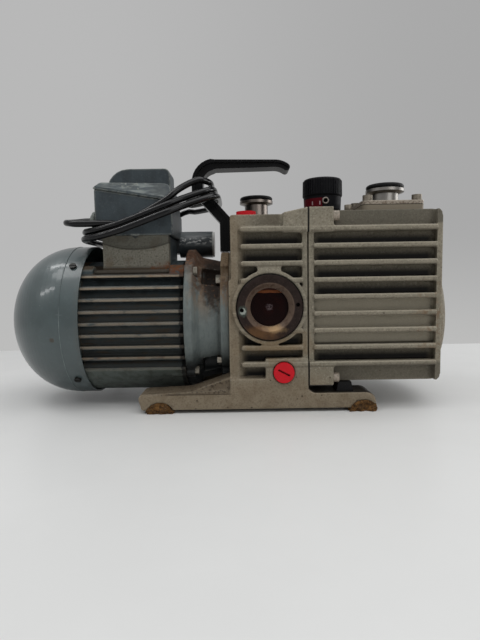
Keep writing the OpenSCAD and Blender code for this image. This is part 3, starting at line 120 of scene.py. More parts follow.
CORD_D = 6.8
CORD_TURNS = 3
CORD_STEP = 7.8
GLAND_END = Vector((-145, -23.5, 199))
BOX_LEFT = -135
WIND_X = (-150.5, -14)
WIND_Y = (-51.5, 75)
WIND_Z_FIRST = 193
WIND_Z_LEFT = 185.4
WIND_Z_RIGHT = 239.2
WIND_SPREAD = 3.9
WIND_FLAT = 0.5
WIND_STEPS = 36
WIND_START = 75
WIND_END = CORD_TURNS * 360 - 75
WIND_STRAIGHT = 7
FIRST_CLIMB_FROM = 0.42
FIRST_CLIMB_WIDTH = 0.5
CLIMB_FROM = 0.12
CLIMB_BEND = 1.35
BACK_HOLD = 0.62
TAPER_FROM = -54
TAPER_TO = 0.7
TABLE_Z = CORD_D / 2 + 0.2
TAIL_PATH = [
    (-163, 92, 177), (-173, 98, 140), (-176, 102, 90), (-168, 106, 44), (-146, 110, 12),
    (-112, 112, TABLE_Z), (-70, 112, TABLE_Z), (-30, 110, TABLE_Z), (5, 108, 6), (30, 108, 14),
]
PLUG_PLACE = (60, 108, 19.2)
PLUG_STRAIGHT = 14


def clamp01(v):
    return min(1, max(0, v))


def eased(v):
    """0 to 1 with softened ends."""
    c = clamp01(v)
    return 0.6 * c + 0.4 * c * c * (3 - 2 * c)


def blunt(v):
    """Flattens a sine or cosine, so that the loop is squarer than an ellipse."""
    return math.copysign(abs(v) ** WIND_FLAT, v)


def left_z(turn):
    """Height of a turn at the left end of the boxes."""
    return WIND_Z_FIRST if turn == 0 else WIND_Z_LEFT - CORD_STEP * (turn - 1)


def climb(turn, share):
    """How far a front run has climbed; the first one stays low past the middle of the box."""
    if turn == 0:
        return eased((share - FIRST_CLIMB_FROM) / FIRST_CLIMB_WIDTH)
    return clamp01((share - CLIMB_FROM) / (1 - CLIMB_FROM)) ** CLIMB_BEND


def wind_point(t):
    """A point of the winding at t degrees, which count on over the turns."""
    turn = math.floor(t / 360)
    sine = math.sin(math.radians(t))
    share = (1 - blunt(math.cos(math.radians(t)))) / 2
    x = WIND_X[0] + (WIND_X[1] + WIND_SPREAD * turn - WIND_X[0]) * share
    narrow = 1 + (TAPER_TO - 1) * eased((x - TAPER_FROM) / (WIND_X[1] - TAPER_FROM))
    grow = CORD_STEP * t / 360
    right_z = WIND_Z_RIGHT - CORD_STEP * turn
    if sine > 0:
        y = WIND_Y[0] * narrow - grow
        z = left_z(turn) + (right_z - left_z(turn)) * climb(turn, share)
    else:
        y = WIND_Y[1] * narrow + grow
        z = left_z(turn + 1) + (right_z - left_z(turn + 1)) * eased(share / BACK_HOLD)
    return Vector((x, y * abs(blunt(sine)), z))


def smooth(points, n):
    """Smooth curve through a list of points, with n steps between two of them."""
    last = len(points) - 1
    curve = []
    for i in range(last):
        a, b, c, d = (points[min(max(i + k, 0), last)] for k in (-1, 0, 1, 2))
        for k in range(n):
            u = k / n
            curve.append(0.5 * (
                2 * b + (c - a) * u
                + (2 * a - 5 * b + 4 * c - d) * u * u
                + (3 * b - a - 3 * c + d) * u ** 3
            ))
    return curve + [points[last]]


def cord_route():
    """Points along the whole cord: out of the gland, back round its bend, the turns and the tail."""
    count = round((WIND_END - WIND_START) / 360 * WIND_STEPS)
    turns = [wind_point(WIND_START + (WIND_END - WIND_START) * i / count) for i in range(count + 1)]
    r = (GLAND_END.y - turns[0].y) / 2
    back = []
    for a in range(90, 271, 30):
        along = r * math.cos(math.radians(a)) - WIND_STRAIGHT
        across = r * (math.sin(math.radians(a)) - 1)
        down = (WIND_Z_FIRST - GLAND_END.z) * (a - 90) / 180
        back.append(GLAND_END + Vector((along, across, down)))
    leave = turns[-1] + Vector((-2 * WIND_STRAIGHT, 0, -1))
    start = leave - Vector((WIND_STRAIGHT, 0, 0))
    plug = Vector(PLUG_PLACE)
    tail = [
        start, start - Vector((WIND_STRAIGHT / 2, 0, 0)), start - Vector((WIND_STRAIGHT, 0, 0)),
        *TAIL_PATH,
        plug - Vector((PLUG_STRAIGHT, 0, 0)), plug - Vector((WIND_STRAIGHT, 0, 0)), plug,
    ]
    winding = [GLAND_END, *back, Vector((BOX_LEFT, turns[0].y, WIND_Z_FIRST)), *turns, leave]
    return smooth(winding + [Vector(p) for p in tail], 3)


def tube(name, points, diameter, closed=False):
    """A round tube along points given in millimetres."""
    curve = bpy.data.curves.new(name, "CURVE")
    curve.dimensions = "3D"
    curve.bevel_depth = 1
    curve.bevel_resolution = 6
    curve.use_fill_caps = True
    spline = curve.splines.new("POLY")
    spline.points.add(len(points) - 1)
    for point, place in zip(spline.points, points):
        point.co = (*(Vector(place) * MM), 1)
        point.radius = diameter / 2 * MM
    spline.use_cyclic_u = closed
    spline.use_smooth = True
    obj = bpy.data.objects.new(name, curve)
    SCENE.collection.objects.link(obj)
    return obj


route = cord_route()
mains_cord = tube("mains_cord", route, CORD_D)
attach(mains_cord, "pump")
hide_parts("mains_cord_winding", "mains_cord_tail")


# Finishes

def srgb(r, g, b):
    """A colour given as it shows on a screen, 0 to 255, in linear light."""
    def linear(v):
        v = v / 255
        return v / 12.92 if v <= 0.04045 else ((v + 0.055) / 1.055) ** 2.4
    return (linear(r), linear(g), linear(b), 1.0)


def feed(tree, socket, value):
    """Gives a socket a value, or links it to another node's socket."""
    if isinstance(value, bpy.types.NodeSocket):
        tree.links.new(value, socket)
    else:
        socket.default_value = value


def add_node(tree, kind, inputs=None, **settings):
    """A shader node with its settings and what goes into its sockets."""
    node = tree.nodes.new("ShaderNode" + kind)
    for key, value in settings.items():
        setattr(node, key, value)
    for key, value in (inputs or {}).items():
        feed(tree, node.inputs[key], value)
    return node


class Finish:
    """A node material that is built up in layers. Lengths are in millimetres, in the part's own frame."""

    def __init__(self, name, colour, roughness, metallic=0.0, **sockets):
        self.material = bpy.data.materials.new(name)
        self.material.use_nodes = True
        self.tree = self.material.node_tree
        self.shader = self.tree.nodes["Principled BSDF"]
        self.shader.inputs["Metallic"].default_value = metallic
        for key, value in sockets.items():
            self.shader.inputs[key.replace("_", " ")].default_value = value
        self.colour = colour
        self.roughness = roughness
        self.normal = None
        object_place = self.add("TexCoord").outputs["Object"]
        self.place = self.add("VectorMath", {0: object_place, "Scale": 1 / MM}, operation="SCALE").outputs[0]

    def add(self, kind, inputs=None, **settings):
        return add_node(self.tree, kind, inputs, **settings)

    def math(self, operation, a, b=0.0, clamp=False):
        return self.add("Math", {0: a, 1: b}, operation=operation, use_clamp=clamp).outputs[0]

    def times(self, first, *others):
        for other in others:
            first = self.math("MULTIPLY", first, other)
        return first

    def step(self, value, low, high):
        """0 at low, 1 at high, smooth between."""
        inputs = {"Value": value, "From Min": low, "From Max": high}
        return self.add("MapRange", inputs, interpolation_type="SMOOTHSTEP").outputs[0]

    def axis(self, letter):
        return self.add("SeparateXYZ", {0: self.place}).outputs["XYZ".index(letter)]

    def band(self, letter, low, high, soft):
        """1 between two places along an axis."""
        value = self.axis(letter)
        over = self.step(value, low - soft, low + soft)
        return self.times(over, self.step(value, high + soft, high - soft))

    def upward(self):
        """How far a face looks up, -1 to 1."""
        normal = self.add("NewGeometry").outputs["Normal"]
        return self.add("SeparateXYZ", {0: normal}).outputs[2]

    def scaled(self, size, stretch):
        scale = tuple(1 / (size * s) for s in stretch)
        return self.add("Mapping", {"Vector": self.place, "Scale": scale}).outputs[0]

    def noise(self, size, detail=3.0, stretch=(1, 1, 1), seed=0.0):
        inputs = {"Vector": self.scaled(size, stretch), "W": seed}
        inputs.update({"Scale": 1, "Detail": detail, "Roughness": 0.6})
        return self.add("TexNoise", inputs, noise_dimensions="4D").outputs[0]

    def patches(self, size, low, high, stretch=(1, 1, 1), seed=0.0):
        """Ragged patches, where the noise is over a level."""
        return self.step(self.noise(size, 5.0, stretch, seed), low, high)

    def spots(self, size, share, radius=0.2, seed=0.0):
        """Small separate spots in a share of the cells of a given size."""
        inputs = {"Vector": self.scaled(size, (1, 1, 1)), "W": seed, "Scale": 1}
        cells = self.add("TexVoronoi", inputs, voronoi_dimensions="4D")
        chosen = self.add("SeparateXYZ", {0: cells.outputs["Color"]}).outputs[0]
        return self.times(
            self.step(cells.outputs["Distance"], radius * 1.4, radius * 0.7),
            self.math("LESS_THAN", chosen, share),
        )

    def near(self, point, reach, soft, ragged=0.0, stretch=(1, 1, 1), grain=7.0):
        """1 close to a point, with an edge that noise makes ragged."""
        away = self.add("VectorMath", {0: self.place, 1: point}, operation="SUBTRACT").outputs[0]
        shape = tuple(1 / s for s in stretch)
        away = self.add("VectorMath", {0: away, 1: shape}, operation="MULTIPLY").outputs[0]
        distance = self.add("VectorMath", {0: away}, operation="LENGTH").outputs["Value"]
        if ragged:
            shift = self.math("MULTIPLY", self.math("SUBTRACT", self.noise(grain, 4.0), 0.5), ragged * 4)
            distance = self.math("ADD", distance, shift)
        return self.step(distance, reach + soft, reach - soft)

    def recess(self, reach, low=0.85, high=0.35, local=True):
        """1 in hollows, joints and inner corners."""
        inputs = {"Distance": reach * MM}
        node = self.add("AmbientOcclusion", inputs, samples=8, only_local=local)
        return self.step(node.outputs["AO"], low, high)

    def edge(self, reach, low=0.92, high=0.6):
        """1 along outer edges."""
        inputs = {"Distance": reach * MM}
        node = self.add("AmbientOcclusion", inputs, samples=8, only_local=True, inside=True)
        return self.step(node.outputs["AO"], low, high)

    def mix(self, kind, mask, a, b):
        """Blends from a to b by a mask; the Mix node has its own sockets for each kind of data."""
        first, result = {"FLOAT": (2, 0), "RGBA": (6, 2)}[kind]
        return self.add("Mix", {0: mask, first: a, first + 1: b}, data_type=kind).outputs[result]

    def layer(self, mask, colour, roughness=None, strength=1.0):
        """Lays a colour, and a roughness where one is given, over what is there."""
        if strength != 1.0:
            mask = self.math("MULTIPLY", mask, strength)
        self.colour = self.mix("RGBA", mask, self.colour, colour)
        if roughness is not None:
            self.roughness = self.mix("FLOAT", mask, self.roughness, roughness)

    def bump(self, height, depth):
        inputs = {"Height": height, "Distance": depth * MM}
        if self.normal is not None:
            inputs["Normal"] = self.normal
        self.normal = self.add("Bump", inputs).outputs[0]

    def done(self):
        feed(self.tree, self.shader.inputs["Base Color"], self.colour)
        feed(self.tree, self.shader.inputs["Roughness"], self.roughness)
        if self.normal is not None:
            feed(self.tree, self.shader.inputs["Normal"], self.normal)
        return self.material


def fin_turn(f, top=FIN_TOP, pitch=FIN_PITCH):
    """Share of the fin pitch below the top of a fin: fins from 0 to 0.3, grooves from 0.3 to 1."""
    return f.math("FRACT", f.math("DIVIDE", f.math("SUBTRACT", top, f.axis("Z")), pitch))


def groove_floors(f):
    """1 on the floors of the cooling grooves of the housing and the case."""
    height = f.axis("Z")
    floor = f.step(f.math("ABSOLUTE", f.axis("Y")), 80.0, 74.0)
    low_end = f.mix("FLOAT", f.step(f.axis("X"), JOINT_X - 1, JOINT_X), 35.0, 50.0)
    over = f.math("GREATER_THAN", height, low_end)
    before_end = f.step(f.axis("X"), CASE_END - 2, CASE_END - 5)
    return f.times(floor, over, f.math("LESS_THAN", height, FIN_TOP - 1), before_end)


def painted_lit_floors(f):
    """1 on the three middle grooves of the case, whose floors get painted light as pale as the fins."""
    return f.times(f.step(f.axis("X"), JOINT_X - 1, JOINT_X), f.band("Z", 68, 113, 1.5))


def groove_painted_shade(f):
    """1 where the grooves get black painted shade: the lower part of each floor, less at the ends."""
    across = f.axis("X")
    on_case = f.step(across, JOINT_X - 1, JOINT_X)
    housing_ends = f.times(f.step(across, 15, 25), f.step(across, 79, 73))
    case_ends = f.times(f.step(across, 88, 97), f.step(across, 213, 203))
    ends = f.mix("FLOAT", on_case, housing_ends, case_ends)
    deep = f.mix("FLOAT", f.step(fin_turn(f), 0.32, 0.80), 0.30, 1.0)
    clear = f.math("SUBTRACT", 1.0, painted_lit_floors(f))
    return f.times(groove_floors(f), f.mix("FLOAT", ends, 0.35, 1.0), deep, clear)


def casting_grime(f):
    """Brown grime low down and on the left, and a darker tone on the step over the rails."""
    across = f.axis("X")
    height = f.axis("Z")
    brown = f.math("MAXIMUM", f.step(height, 54, 22), f.step(across, 32, 4))
    brown = f.times(brown, f.step(across, JOINT_X + 40, JOINT_X - 10))
    brown = f.math("MAXIMUM", brown, f.step(height, 30, 20))
    f.layer(brown, srgb(126, 113, 94), strength=0.75)
    f.layer(f.times(brown, f.patches(14, 0.42, 0.64)), srgb(106, 93, 75), strength=0.55)
    f.layer(f.times(brown, f.patches(1.8, 0.50, 0.60, seed=2)), srgb(84, 73, 59), strength=0.4)
    gusset = f.times(f.band("Z", RAIL_TOP + 0.5, 40, 1), f.step(across, 7, 4))
    f.layer(gusset, srgb(76, 66, 54), strength=0.6)
    f.layer(f.times(gusset, f.patches(3, 0.52, 0.62, seed=9)), srgb(44, 36, 29), strength=0.7)
    f.layer(f.times(brown, f.spots(5, 0.5, 0.18, seed=6)), srgb(42, 33, 25), strength=0.85)


def fin_shades(f):
    """Painted highlight and wear on the upper edges of the fins, painted shade below them, and painted shade
    of coves at the ends of the grooves on the right.
    """
    on_fins = f.times(f.step(f.math("ABSOLUTE", f.axis("Y")), 82, 84), f.band("Z", 44, FIN_TOP, 0.5))
    # Painted highlight and wear: paler upper edges of the fins.
    f.layer(f.times(on_fins, f.step(fin_turn(f), 0.12, 0.02)), srgb(168, 161, 144), 0.5, 0.4)
    under_fins = f.times(f.step(fin_turn(f), 0.17, 0.30), f.step(fin_turn(f), 0.36, 0.31))
    # Painted shade under each fin.
    f.layer(f.times(on_fins, under_fins), srgb(66, 59, 50), strength=0.5)
    fin_rows = f.times(f.step(fin_turn(f), 0.30, 0.42), f.step(fin_turn(f), 1.0, 0.92))
    # Painted shade of coves between the fins on the right end column of the case.
    f.layer(f.times(on_fins, fin_rows, f.step(f.axis("X"), 203, 207)), srgb(88, 82, 71), strength=0.6)


def casting_stains(f):
    """Oil below the glass, a brown stain at the right end, and worn outer edges."""
    f.layer(f.near(GLASS_STAIN, 22, 14, ragged=10, stretch=(1.4, 1, 0.7)), srgb(114, 91, 60), 0.45, 0.6)
    right_end = f.near(CASE_STAIN, 20, 14, ragged=12, stretch=(0.8, 1, 1.6))
    f.layer(f.times(right_end, f.patches(5, 0.46, 0.60, seed=5)), srgb(112, 86, 62), strength=0.6)
    worn = f.times(f.edge(2.0), f.patches(7, 0.34, 0.56, seed=7))
    f.layer(worn, srgb(170, 163, 147), 0.45, 0.45)


def casting_bands(f):
    """Darker bands above and below the fins."""
    across = f.axis("X")
    on_case = f.step(across, 108, 112)
    top_band = f.step(f.axis("Z"), FIN_TOP, FIN_TOP + 3)
    f.layer(f.times(top_band, on_case), srgb(78, 75, 67), strength=0.7)
    shaded = f.times(top_band, f.step(across, 58, 54), f.step(across, 12, 50))
    f.layer(shaded, srgb(80, 73, 62), strength=0.7)
    f.layer(f.times(f.band("Z", 29, 48, 2), on_case), srgb(84, 80, 71), strength=0.6)


def rail_oil_and_painted_shadow(f):
    """Black oil and painted shadow on top of the rails under the case, and a painted shade line along their
    step.
    """
    across = f.axis("X")
    # Painted shadow and oil: the tops of the rails under the case go black.
    rail_top = f.times(f.step(f.upward(), 0.6, 0.9), f.step(f.axis("Z"), 26, 24))
    f.layer(f.times(rail_top, f.step(across, JOINT_X, JOINT_X + 3)), srgb(17, 15, 13), 0.4, 0.9)
    # Painted shade: a dark line along the step over the rails.
    step_line = f.times(f.band("Z", RAIL_TOP - 0.5, RAIL_TOP + 0.5, 0.5), f.step(across, 8, 4))
    f.layer(f.times(step_line, f.step(across, -64, -56)), srgb(38, 30, 23), strength=0.75)


def cast_alloy():
    """Speckled grey-olive casting, browner low and on the left, with pits and paler worn edges; painted shade
    makes the grooves and hollows dark, and painted light pales some groove floors and the fin edges.
    """
    f = Finish("cast_alloy", srgb(132, 125, 110), 0.62, Specular_IOR_Level=0.12)
    f.layer(f.patches(32, 0.42, 0.64), srgb(116, 111, 97), strength=0.7)
    f.layer(f.patches(2.2, 0.50, 0.60), srgb(96, 89, 76), strength=0.5)
    f.layer(f.patches(1.9, 0.54, 0.64, seed=4), srgb(164, 158, 141), strength=0.45)
    f.layer(f.spots(6.5, 0.36, 0.13), srgb(52, 44, 35), strength=0.85)
    casting_grime(f)
    fin_shades(f)
    casting_stains(f)
    casting_bands(f)
    # Painted light: the three middle groove floors of the case are made as pale as the fins.
    f.layer(f.times(groove_floors(f), painted_lit_floors(f)), srgb(168, 161, 144), strength=0.7)
    # Painted shade: the grooves go black towards the lower part of each floor.
    f.layer(groove_painted_shade(f), srgb(16, 14, 12), 0.5)
    rail_oil_and_painted_shadow(f)
    # Painted shade and grime in hollows and joints.
    f.layer(f.recess(5), srgb(32, 27, 21), 0.5, 0.75)
    f.bump(f.noise(1.6, 3.0), 0.35)
    f.bump(f.noise(7, 2.0, seed=3), 0.5)
    return f.done()


def cover_paint():
    """Glossy blue-grey paint on the fan cover, with chips, dots and a few scratches."""
    f = Finish("cover_paint", srgb(65, 77, 78), 0.36, Coat_Weight=0.5, Coat_Roughness=0.12)
    f.layer(f.patches(45, 0.40, 0.64), srgb(56, 67, 68), strength=0.8)
    f.layer(f.patches(5, 0.52, 0.72, seed=3), srgb(78, 90, 90), 0.5, 0.35)
    f.layer(f.spots(11, 0.3, 0.07), srgb(52, 53, 48), 0.6, 0.8)
    f.layer(f.spots(26, 0.25, 0.06, seed=5), srgb(88, 70, 50), 0.6, 0.8)
    f.layer(f.patches(2.4, 0.66, 0.70, stretch=(9, 1, 1), seed=8), srgb(120, 130, 128), 0.5, 0.4)
    f.layer(f.near(COVER_DOT, 2.3, 0.7, ragged=0.6, grain=2), srgb(58, 52, 42), 0.7, 0.95)
    chip = f.near(COVER_CHIP, 9, 1.5, ragged=3, stretch=(1.5, 1, 1), grain=5)
    f.layer(chip, srgb(34, 33, 30), 0.7, 0.9)
    rim = f.step(f.axis("X"), -152, -146)
    f.layer(f.times(rim, f.patches(8, 0.40, 0.58)), srgb(64, 70, 68), 0.55, 0.7)
    f.bump(f.noise(40, 1.0), 0.6)
    return f.done()


def seam_paint_and_shade():
    """The bead round the fan cover: painted shadow in the upper half, a painted highlight in the lower."""
    # The pale base colour is a painted highlight.
    f = Finish("seam_paint_and_shade", srgb(108, 119, 118), 0.4)
    f.layer(f.patches(9, 0.40, 0.60), srgb(84, 95, 95), 0.5, 0.8)
    # Painted shadow on the upper half of the bead.
    f.layer(f.step(f.axis("Z"), 88, 112), srgb(56, 66, 67), 0.5, 0.85)
    return f.done()


def pedestal_cast(f):
    """The bare speckled pedestal of the terminal box, with its dark toe, its darker collar and a painted
    shadow line under the collar's edge.
    """
    pedestal = f.times(f.step(f.axis("Z"), PEDESTAL_Z - 2, PEDESTAL_Z + 6), f.step(f.axis("Y"), -30, -38))
    f.layer(pedestal, srgb(118, 115, 104), 0.6, 0.95)
    f.layer(f.times(pedestal, f.patches(2.0, 0.50, 0.60)), srgb(84, 80, 71), strength=0.7)
    f.layer(f.times(pedestal, f.patches(1.7, 0.56, 0.66, seed=3)), srgb(150, 145, 131), strength=0.5)
    f.layer(f.times(pedestal, f.patches(14, 0.50, 0.64, seed=8)), srgb(94, 82, 66), strength=0.6)
    toe = f.times(f.step(f.upward(), 0.25, 0.6), f.band("Z", FRAME_FIN_TOP - 0.4, PEDESTAL_Z + 6, 1.2))
    f.layer(toe, srgb(62, 53, 43), 0.95, 0.95)
    collar = f.near(COLLAR, COLLAR_R, 0.9, stretch=(1, 40, 1))
    f.layer(f.times(pedestal, collar), srgb(70, 70, 64), 0.6, 0.6)
    # Painted shadow: a dark line just below the edge of the collar.
    line = f.times(pedestal, f.near(COLLAR, COLLAR_R + 1.6, 0.9, stretch=(1, 40, 1)))
    f.layer(f.math("SUBTRACT", line, collar, clamp=True), srgb(40, 38, 34), 0.6, 0.8)


def frame_paint():
    """Dark blue-grey motor frame: fin edges worn to beige, painted light on the lower groove floors, painted
    shade in hollows, a speckled pedestal, rust at its lower right.
    """
    f = Finish("frame_paint", srgb(62, 71, 74), 0.5, Specular_IOR_Level=0.15)
    f.layer(f.patches(14, 0.42, 0.62), srgb(48, 54, 55), strength=0.8)
    f.layer(f.patches(1.8, 0.55, 0.66), srgb(88, 91, 87), strength=0.4)
    height = f.axis("Z")
    saddle = f.step(height, SADDLE_Z + 2, SADDLE_Z - 1)
    f.layer(saddle, srgb(84, 90, 85), strength=0.9)
    f.layer(f.times(saddle, f.patches(9, 0.44, 0.62)), srgb(64, 68, 63), strength=0.8)
    turn = fin_turn(f, FRAME_FIN_TOP, FRAME_FIN_PITCH)
    finned = f.times(f.step(height, 128, 106), f.step(height, SADDLE_Z, SADDLE_Z + 2))
    floors = f.times(f.step(turn, 0.42, 0.72), finned)
    # Painted light: the lower part of each groove floor is paler.
    f.layer(floors, srgb(90, 92, 89), strength=0.7)
    f.layer(f.times(floors, f.patches(9, 0.48, 0.62, stretch=(3, 1, 0.5))), srgb(92, 78, 62), strength=0.7)
    worn = f.times(f.edge(3.0), f.patches(7, 0.30, 0.50, stretch=(2.5, 1, 1)))
    below = f.step(height, FRAME_FIN_TOP, FRAME_FIN_TOP - 1)
    f.layer(f.times(worn, below), srgb(134, 122, 105), 0.6, 0.85)
    f.layer(f.times(f.edge(2.4), f.patches(9, 0.52, 0.64, seed=6)), srgb(112, 82, 58), 0.7, 0.5)
    # Painted shade in hollows.
    f.layer(f.recess(7), srgb(17, 18, 19), 0.6, 0.4)
    joint = f.step(f.math("ADD", f.axis("X"), f.math("MULTIPLY", f.noise(3), 5)), -44, -42.5)
    f.layer(joint, srgb(26, 25, 24), 0.7, 0.85)
    pedestal_cast(f)
    rust = f.near(PEDESTAL_RUST, 13, 7, ragged=8, stretch=(1.8, 2, 0.55))
    f.layer(f.times(rust, f.patches(4, 0.36, 0.54)), srgb(92, 57, 36), 0.85, 0.9)
    f.bump(f.noise(1.6, 3.0), 0.25)
    return f.done()


def shield_paint():
    """Pale blue-grey end shields: rust runs down from the top, the foot is black with oil and painted shadow,
    and painted shade lies in the hollows.
    """
    f = Finish("shield_paint", srgb(104, 111, 109), 0.5, Specular_IOR_Level=0.25)
    f.layer(f.patches(12, 0.42, 0.64), srgb(92, 100, 99), strength=0.8)
    f.layer(f.patches(2.4, 0.50, 0.62, stretch=(1, 1, 5), seed=4), srgb(74, 80, 78), strength=0.3)
    height = f.axis("Z")
    runs = f.times(f.patches(5, 0.40, 0.56, stretch=(1, 1, 6)), f.step(height, 82, 128))
    f.layer(f.times(runs, f.step(f.axis("X"), -44, -22)), srgb(120, 92, 62), 0.7, 0.7)
    crown = f.times(f.step(height, 134, 160), f.patches(8, 0.28, 0.48, seed=2))
    f.layer(crown, srgb(82, 54, 36), 0.85, 0.95)
    f.layer(f.times(crown, f.patches(5, 0.50, 0.62, seed=4)), srgb(44, 33, 25), 0.85, 0.85)
    f.layer(f.times(crown, f.patches(3, 0.54, 0.64, seed=6)), srgb(144, 94, 56), 0.85, 0.7)
    neck = f.times(f.step(height, 112, 130), f.step(f.axis("X"), -38, -28), f.patches(6, 0.34, 0.56, seed=3))
    f.layer(neck, srgb(70, 50, 36), 0.85, 0.85)
    pocket = f.near(SHIELD_POCKET, 21, 8, ragged=7, stretch=(0.55, 2.6, 1.5))
    on_flange = f.step(f.axis("X"), *SHIELD_FLANGE_X)
    behind_flange = f.step(f.axis("X"), *SHIELD_FLANGE_X[::-1])
    f.layer(f.times(pocket, behind_flange), srgb(32, 24, 19), 0.8, 0.95)
    f.layer(f.times(pocket, behind_flange, f.patches(3.0, 0.58, 0.66, seed=9)), srgb(96, 66, 42), 0.8, 0.6)
    flange = f.times(on_flange, f.step(height, 112, 160))
    f.layer(f.times(flange, f.patches(4, 0.30, 0.54)), srgb(132, 114, 90), 0.75, 0.85)
    # Oil and painted shadow: the foot of the shield goes black.
    oily = f.step(f.math("ADD", height, f.math("MULTIPLY", f.noise(14), 26)), 78, 54)
    f.layer(oily, srgb(20, 21, 22), 0.35, 0.92)
    # Painted shade in hollows.
    f.layer(f.recess(6), srgb(30, 24, 19), 0.6, 0.8)
    f.layer(f.times(f.edge(1.6), f.patches(6, 0.45, 0.6)), srgb(152, 150, 138), 0.5, 0.45)
    f.bump(f.noise(1.6, 3.0), 0.25)
    return f.done()


def box_paint(name, flaked):
    """Dark blue-grey boxes with pale worn edges and dust on top, painted shade underneath and in hollows; the
    lid has lost some paint in front.
    """
    f = Finish(name, srgb(60, 68, 72), 0.44, Specular_IOR_Level=0.25)
    f.layer(f.patches(16, 0.42, 0.62, stretch=(1, 1, 2)), srgb(50, 56, 59), strength=0.8)
    f.layer(f.patches(2.2, 0.54, 0.68), srgb(84, 91, 92), strength=0.35)
    f.layer(f.spots(10, 0.3, 0.07), srgb(28, 30, 30), strength=0.8)
    f.layer(f.spots(14, 0.25, 0.06, seed=3), srgb(128, 122, 104), strength=0.7)
    dust = f.step(f.upward(), 0.3, 0.95)
    f.layer(f.times(dust, f.patches(9, 0.36, 0.62)), srgb(98, 102, 97), 0.6, 0.5)
    f.layer(f.times(f.edge(2.0, 0.97, 0.66), f.patches(6, 0.34, 0.52)), srgb(146, 149, 141), 0.5, 0.8)
    if flaked:
        slope = f.times(f.step(f.upward(), 0.2, 0.45), f.step(f.upward(), 1.0, 0.9))
        f.layer(f.times(slope, f.patches(6, 0.50, 0.62, stretch=(4, 1, 0.6))), srgb(138, 145, 140), 0.5, 0.45)
        front = f.near(LID_SCUFF, 9, 6, ragged=5, stretch=(1.7, 2, 0.8))
        f.layer(f.times(front, f.patches(3.0, 0.56, 0.61)), srgb(138, 140, 130), 0.6, 0.8)
    # Painted shade below the bottom of the boxes.
    under = f.step(f.axis("Z"), *BOX_BOTTOM_Z[::-1])
    f.layer(under, srgb(34, 37, 38), 0.6, 0.9)
    # Painted shade in hollows.
    f.layer(f.recess(5), srgb(24, 26, 26), 0.6, 0.8)
    f.bump(f.noise(2.2, 3.0), 0.2)
    return f.done()


def tinted(colour, factor):
    """A lighter or darker tone of a colour."""
    return tuple(min(1, c * factor) for c in colour[:3]) + (1.0,)


def metal(name, colour, roughness, grime, amount, turned=0.0):
    """Bare metal with fine marks and some grime, turned on a lathe where a depth is given."""
    f = Finish(name, colour, roughness, metallic=1.0)
    f.layer(f.patches(3, 0.46, 0.62), tinted(colour, 0.7), roughness + 0.12, 0.6)
    f.layer(f.patches(1.2, 0.56, 0.66, seed=2), tinted(colour, 1.25), strength=0.5)
    crevice = f.recess(6, 1.0, 0.4, local=False)
    f.layer(f.times(f.patches(2.6, 0.44, 0.60, seed=5), crevice), grime, 0.7, amount)
    if turned:
        f.bump(f.noise(0.5, 1.0, stretch=(40, 40, 1)), turned)
    f.bump(f.noise(1.5, 3.0), 0.05)
    return f.done()


def tie_rod():
    """Tie bolts: rods painted and grimy like the frame between their lugs, dull heads at the shield."""
    f = Finish("tie_rod", srgb(138, 133, 121), 0.5, metallic=0.4)
    f.layer(f.patches(2.5, 0.46, 0.62), srgb(104, 97, 86), 0.6, 0.7)
    f.layer(f.step(f.axis("X"), -44, -47), srgb(62, 56, 48), 0.8, 0.95)
    return f.done()


def port_metal():
    """Turned stems, the intake's duller; the square plate under the exhaust is grimy like the castings;
    painted shade in crevices.
    """
    f = Finish("port_metal", srgb(134, 131, 127), 0.36, metallic=0.95)
    f.layer(f.patches(5, 0.46, 0.64, stretch=(1, 1, 3)), srgb(126, 121, 114), 0.34, 0.6)
    height = f.axis("Z")
    intake = f.step(f.axis("X"), 110, 100)
    f.layer(intake, srgb(116, 106, 99), 0.32, 0.75)
    low = f.step(height, EXHAUST_PLATE_TOP + 0.4, EXHAUST_PLATE_TOP - 0.2)
    on_plate = f.times(low, f.step(intake, 1.0, 0.0))
    f.layer(on_plate, srgb(152, 143, 131), 0.62)
    f.layer(f.times(on_plate, f.patches(2.2, 0.48, 0.60)), srgb(104, 93, 81), 0.7, 0.7)
    f.layer(f.times(on_plate, f.patches(9, 0.54, 0.66, seed=3)), srgb(96, 78, 64), 0.7, 0.6)
    f.layer(f.times(on_plate, f.edge(1.4)), srgb(176, 169, 157), 0.5, 0.7)
    foot = f.times(on_plate, f.step(height, EXHAUST_PLATE_TOP - 3.8, EXHAUST_PLATE_TOP - 4.4))
    f.layer(foot, srgb(132, 124, 110), 0.7)
    joint = f.times(on_plate, f.band("Z", EXHAUST_PLATE_TOP - 4.6, EXHAUST_PLATE_TOP - 4.0, 0.3))
    f.layer(joint, srgb(30, 27, 24), 0.8)
    # Painted shade in crevices and where other parts come close.
    f.layer(f.recess(4, 0.85, 0.3, local=False), srgb(56, 48, 40), 0.6, 0.5)
    return f.done()


def handle_black():
    """Gloss black moulding, a little dusty, with a painted highlight under the grip."""
    f = Finish("handle_black", srgb(9, 9, 10), 0.22, Specular_IOR_Level=0.12)
    f.layer(f.patches(9, 0.46, 0.66), srgb(13, 13, 15), 0.3, 0.7)
    f.layer(f.spots(8, 0.25, 0.06), srgb(84, 80, 74), 0.7, 0.6)
    # Painted highlight on the downward faces of the grip.
    below = f.step(f.upward(), -0.35, -0.8)
    f.layer(f.times(below, f.step(f.axis("Z"), *HANDLE_BAR_Z)), srgb(46, 46, 47), 0.4, 0.8)
    return f.done()


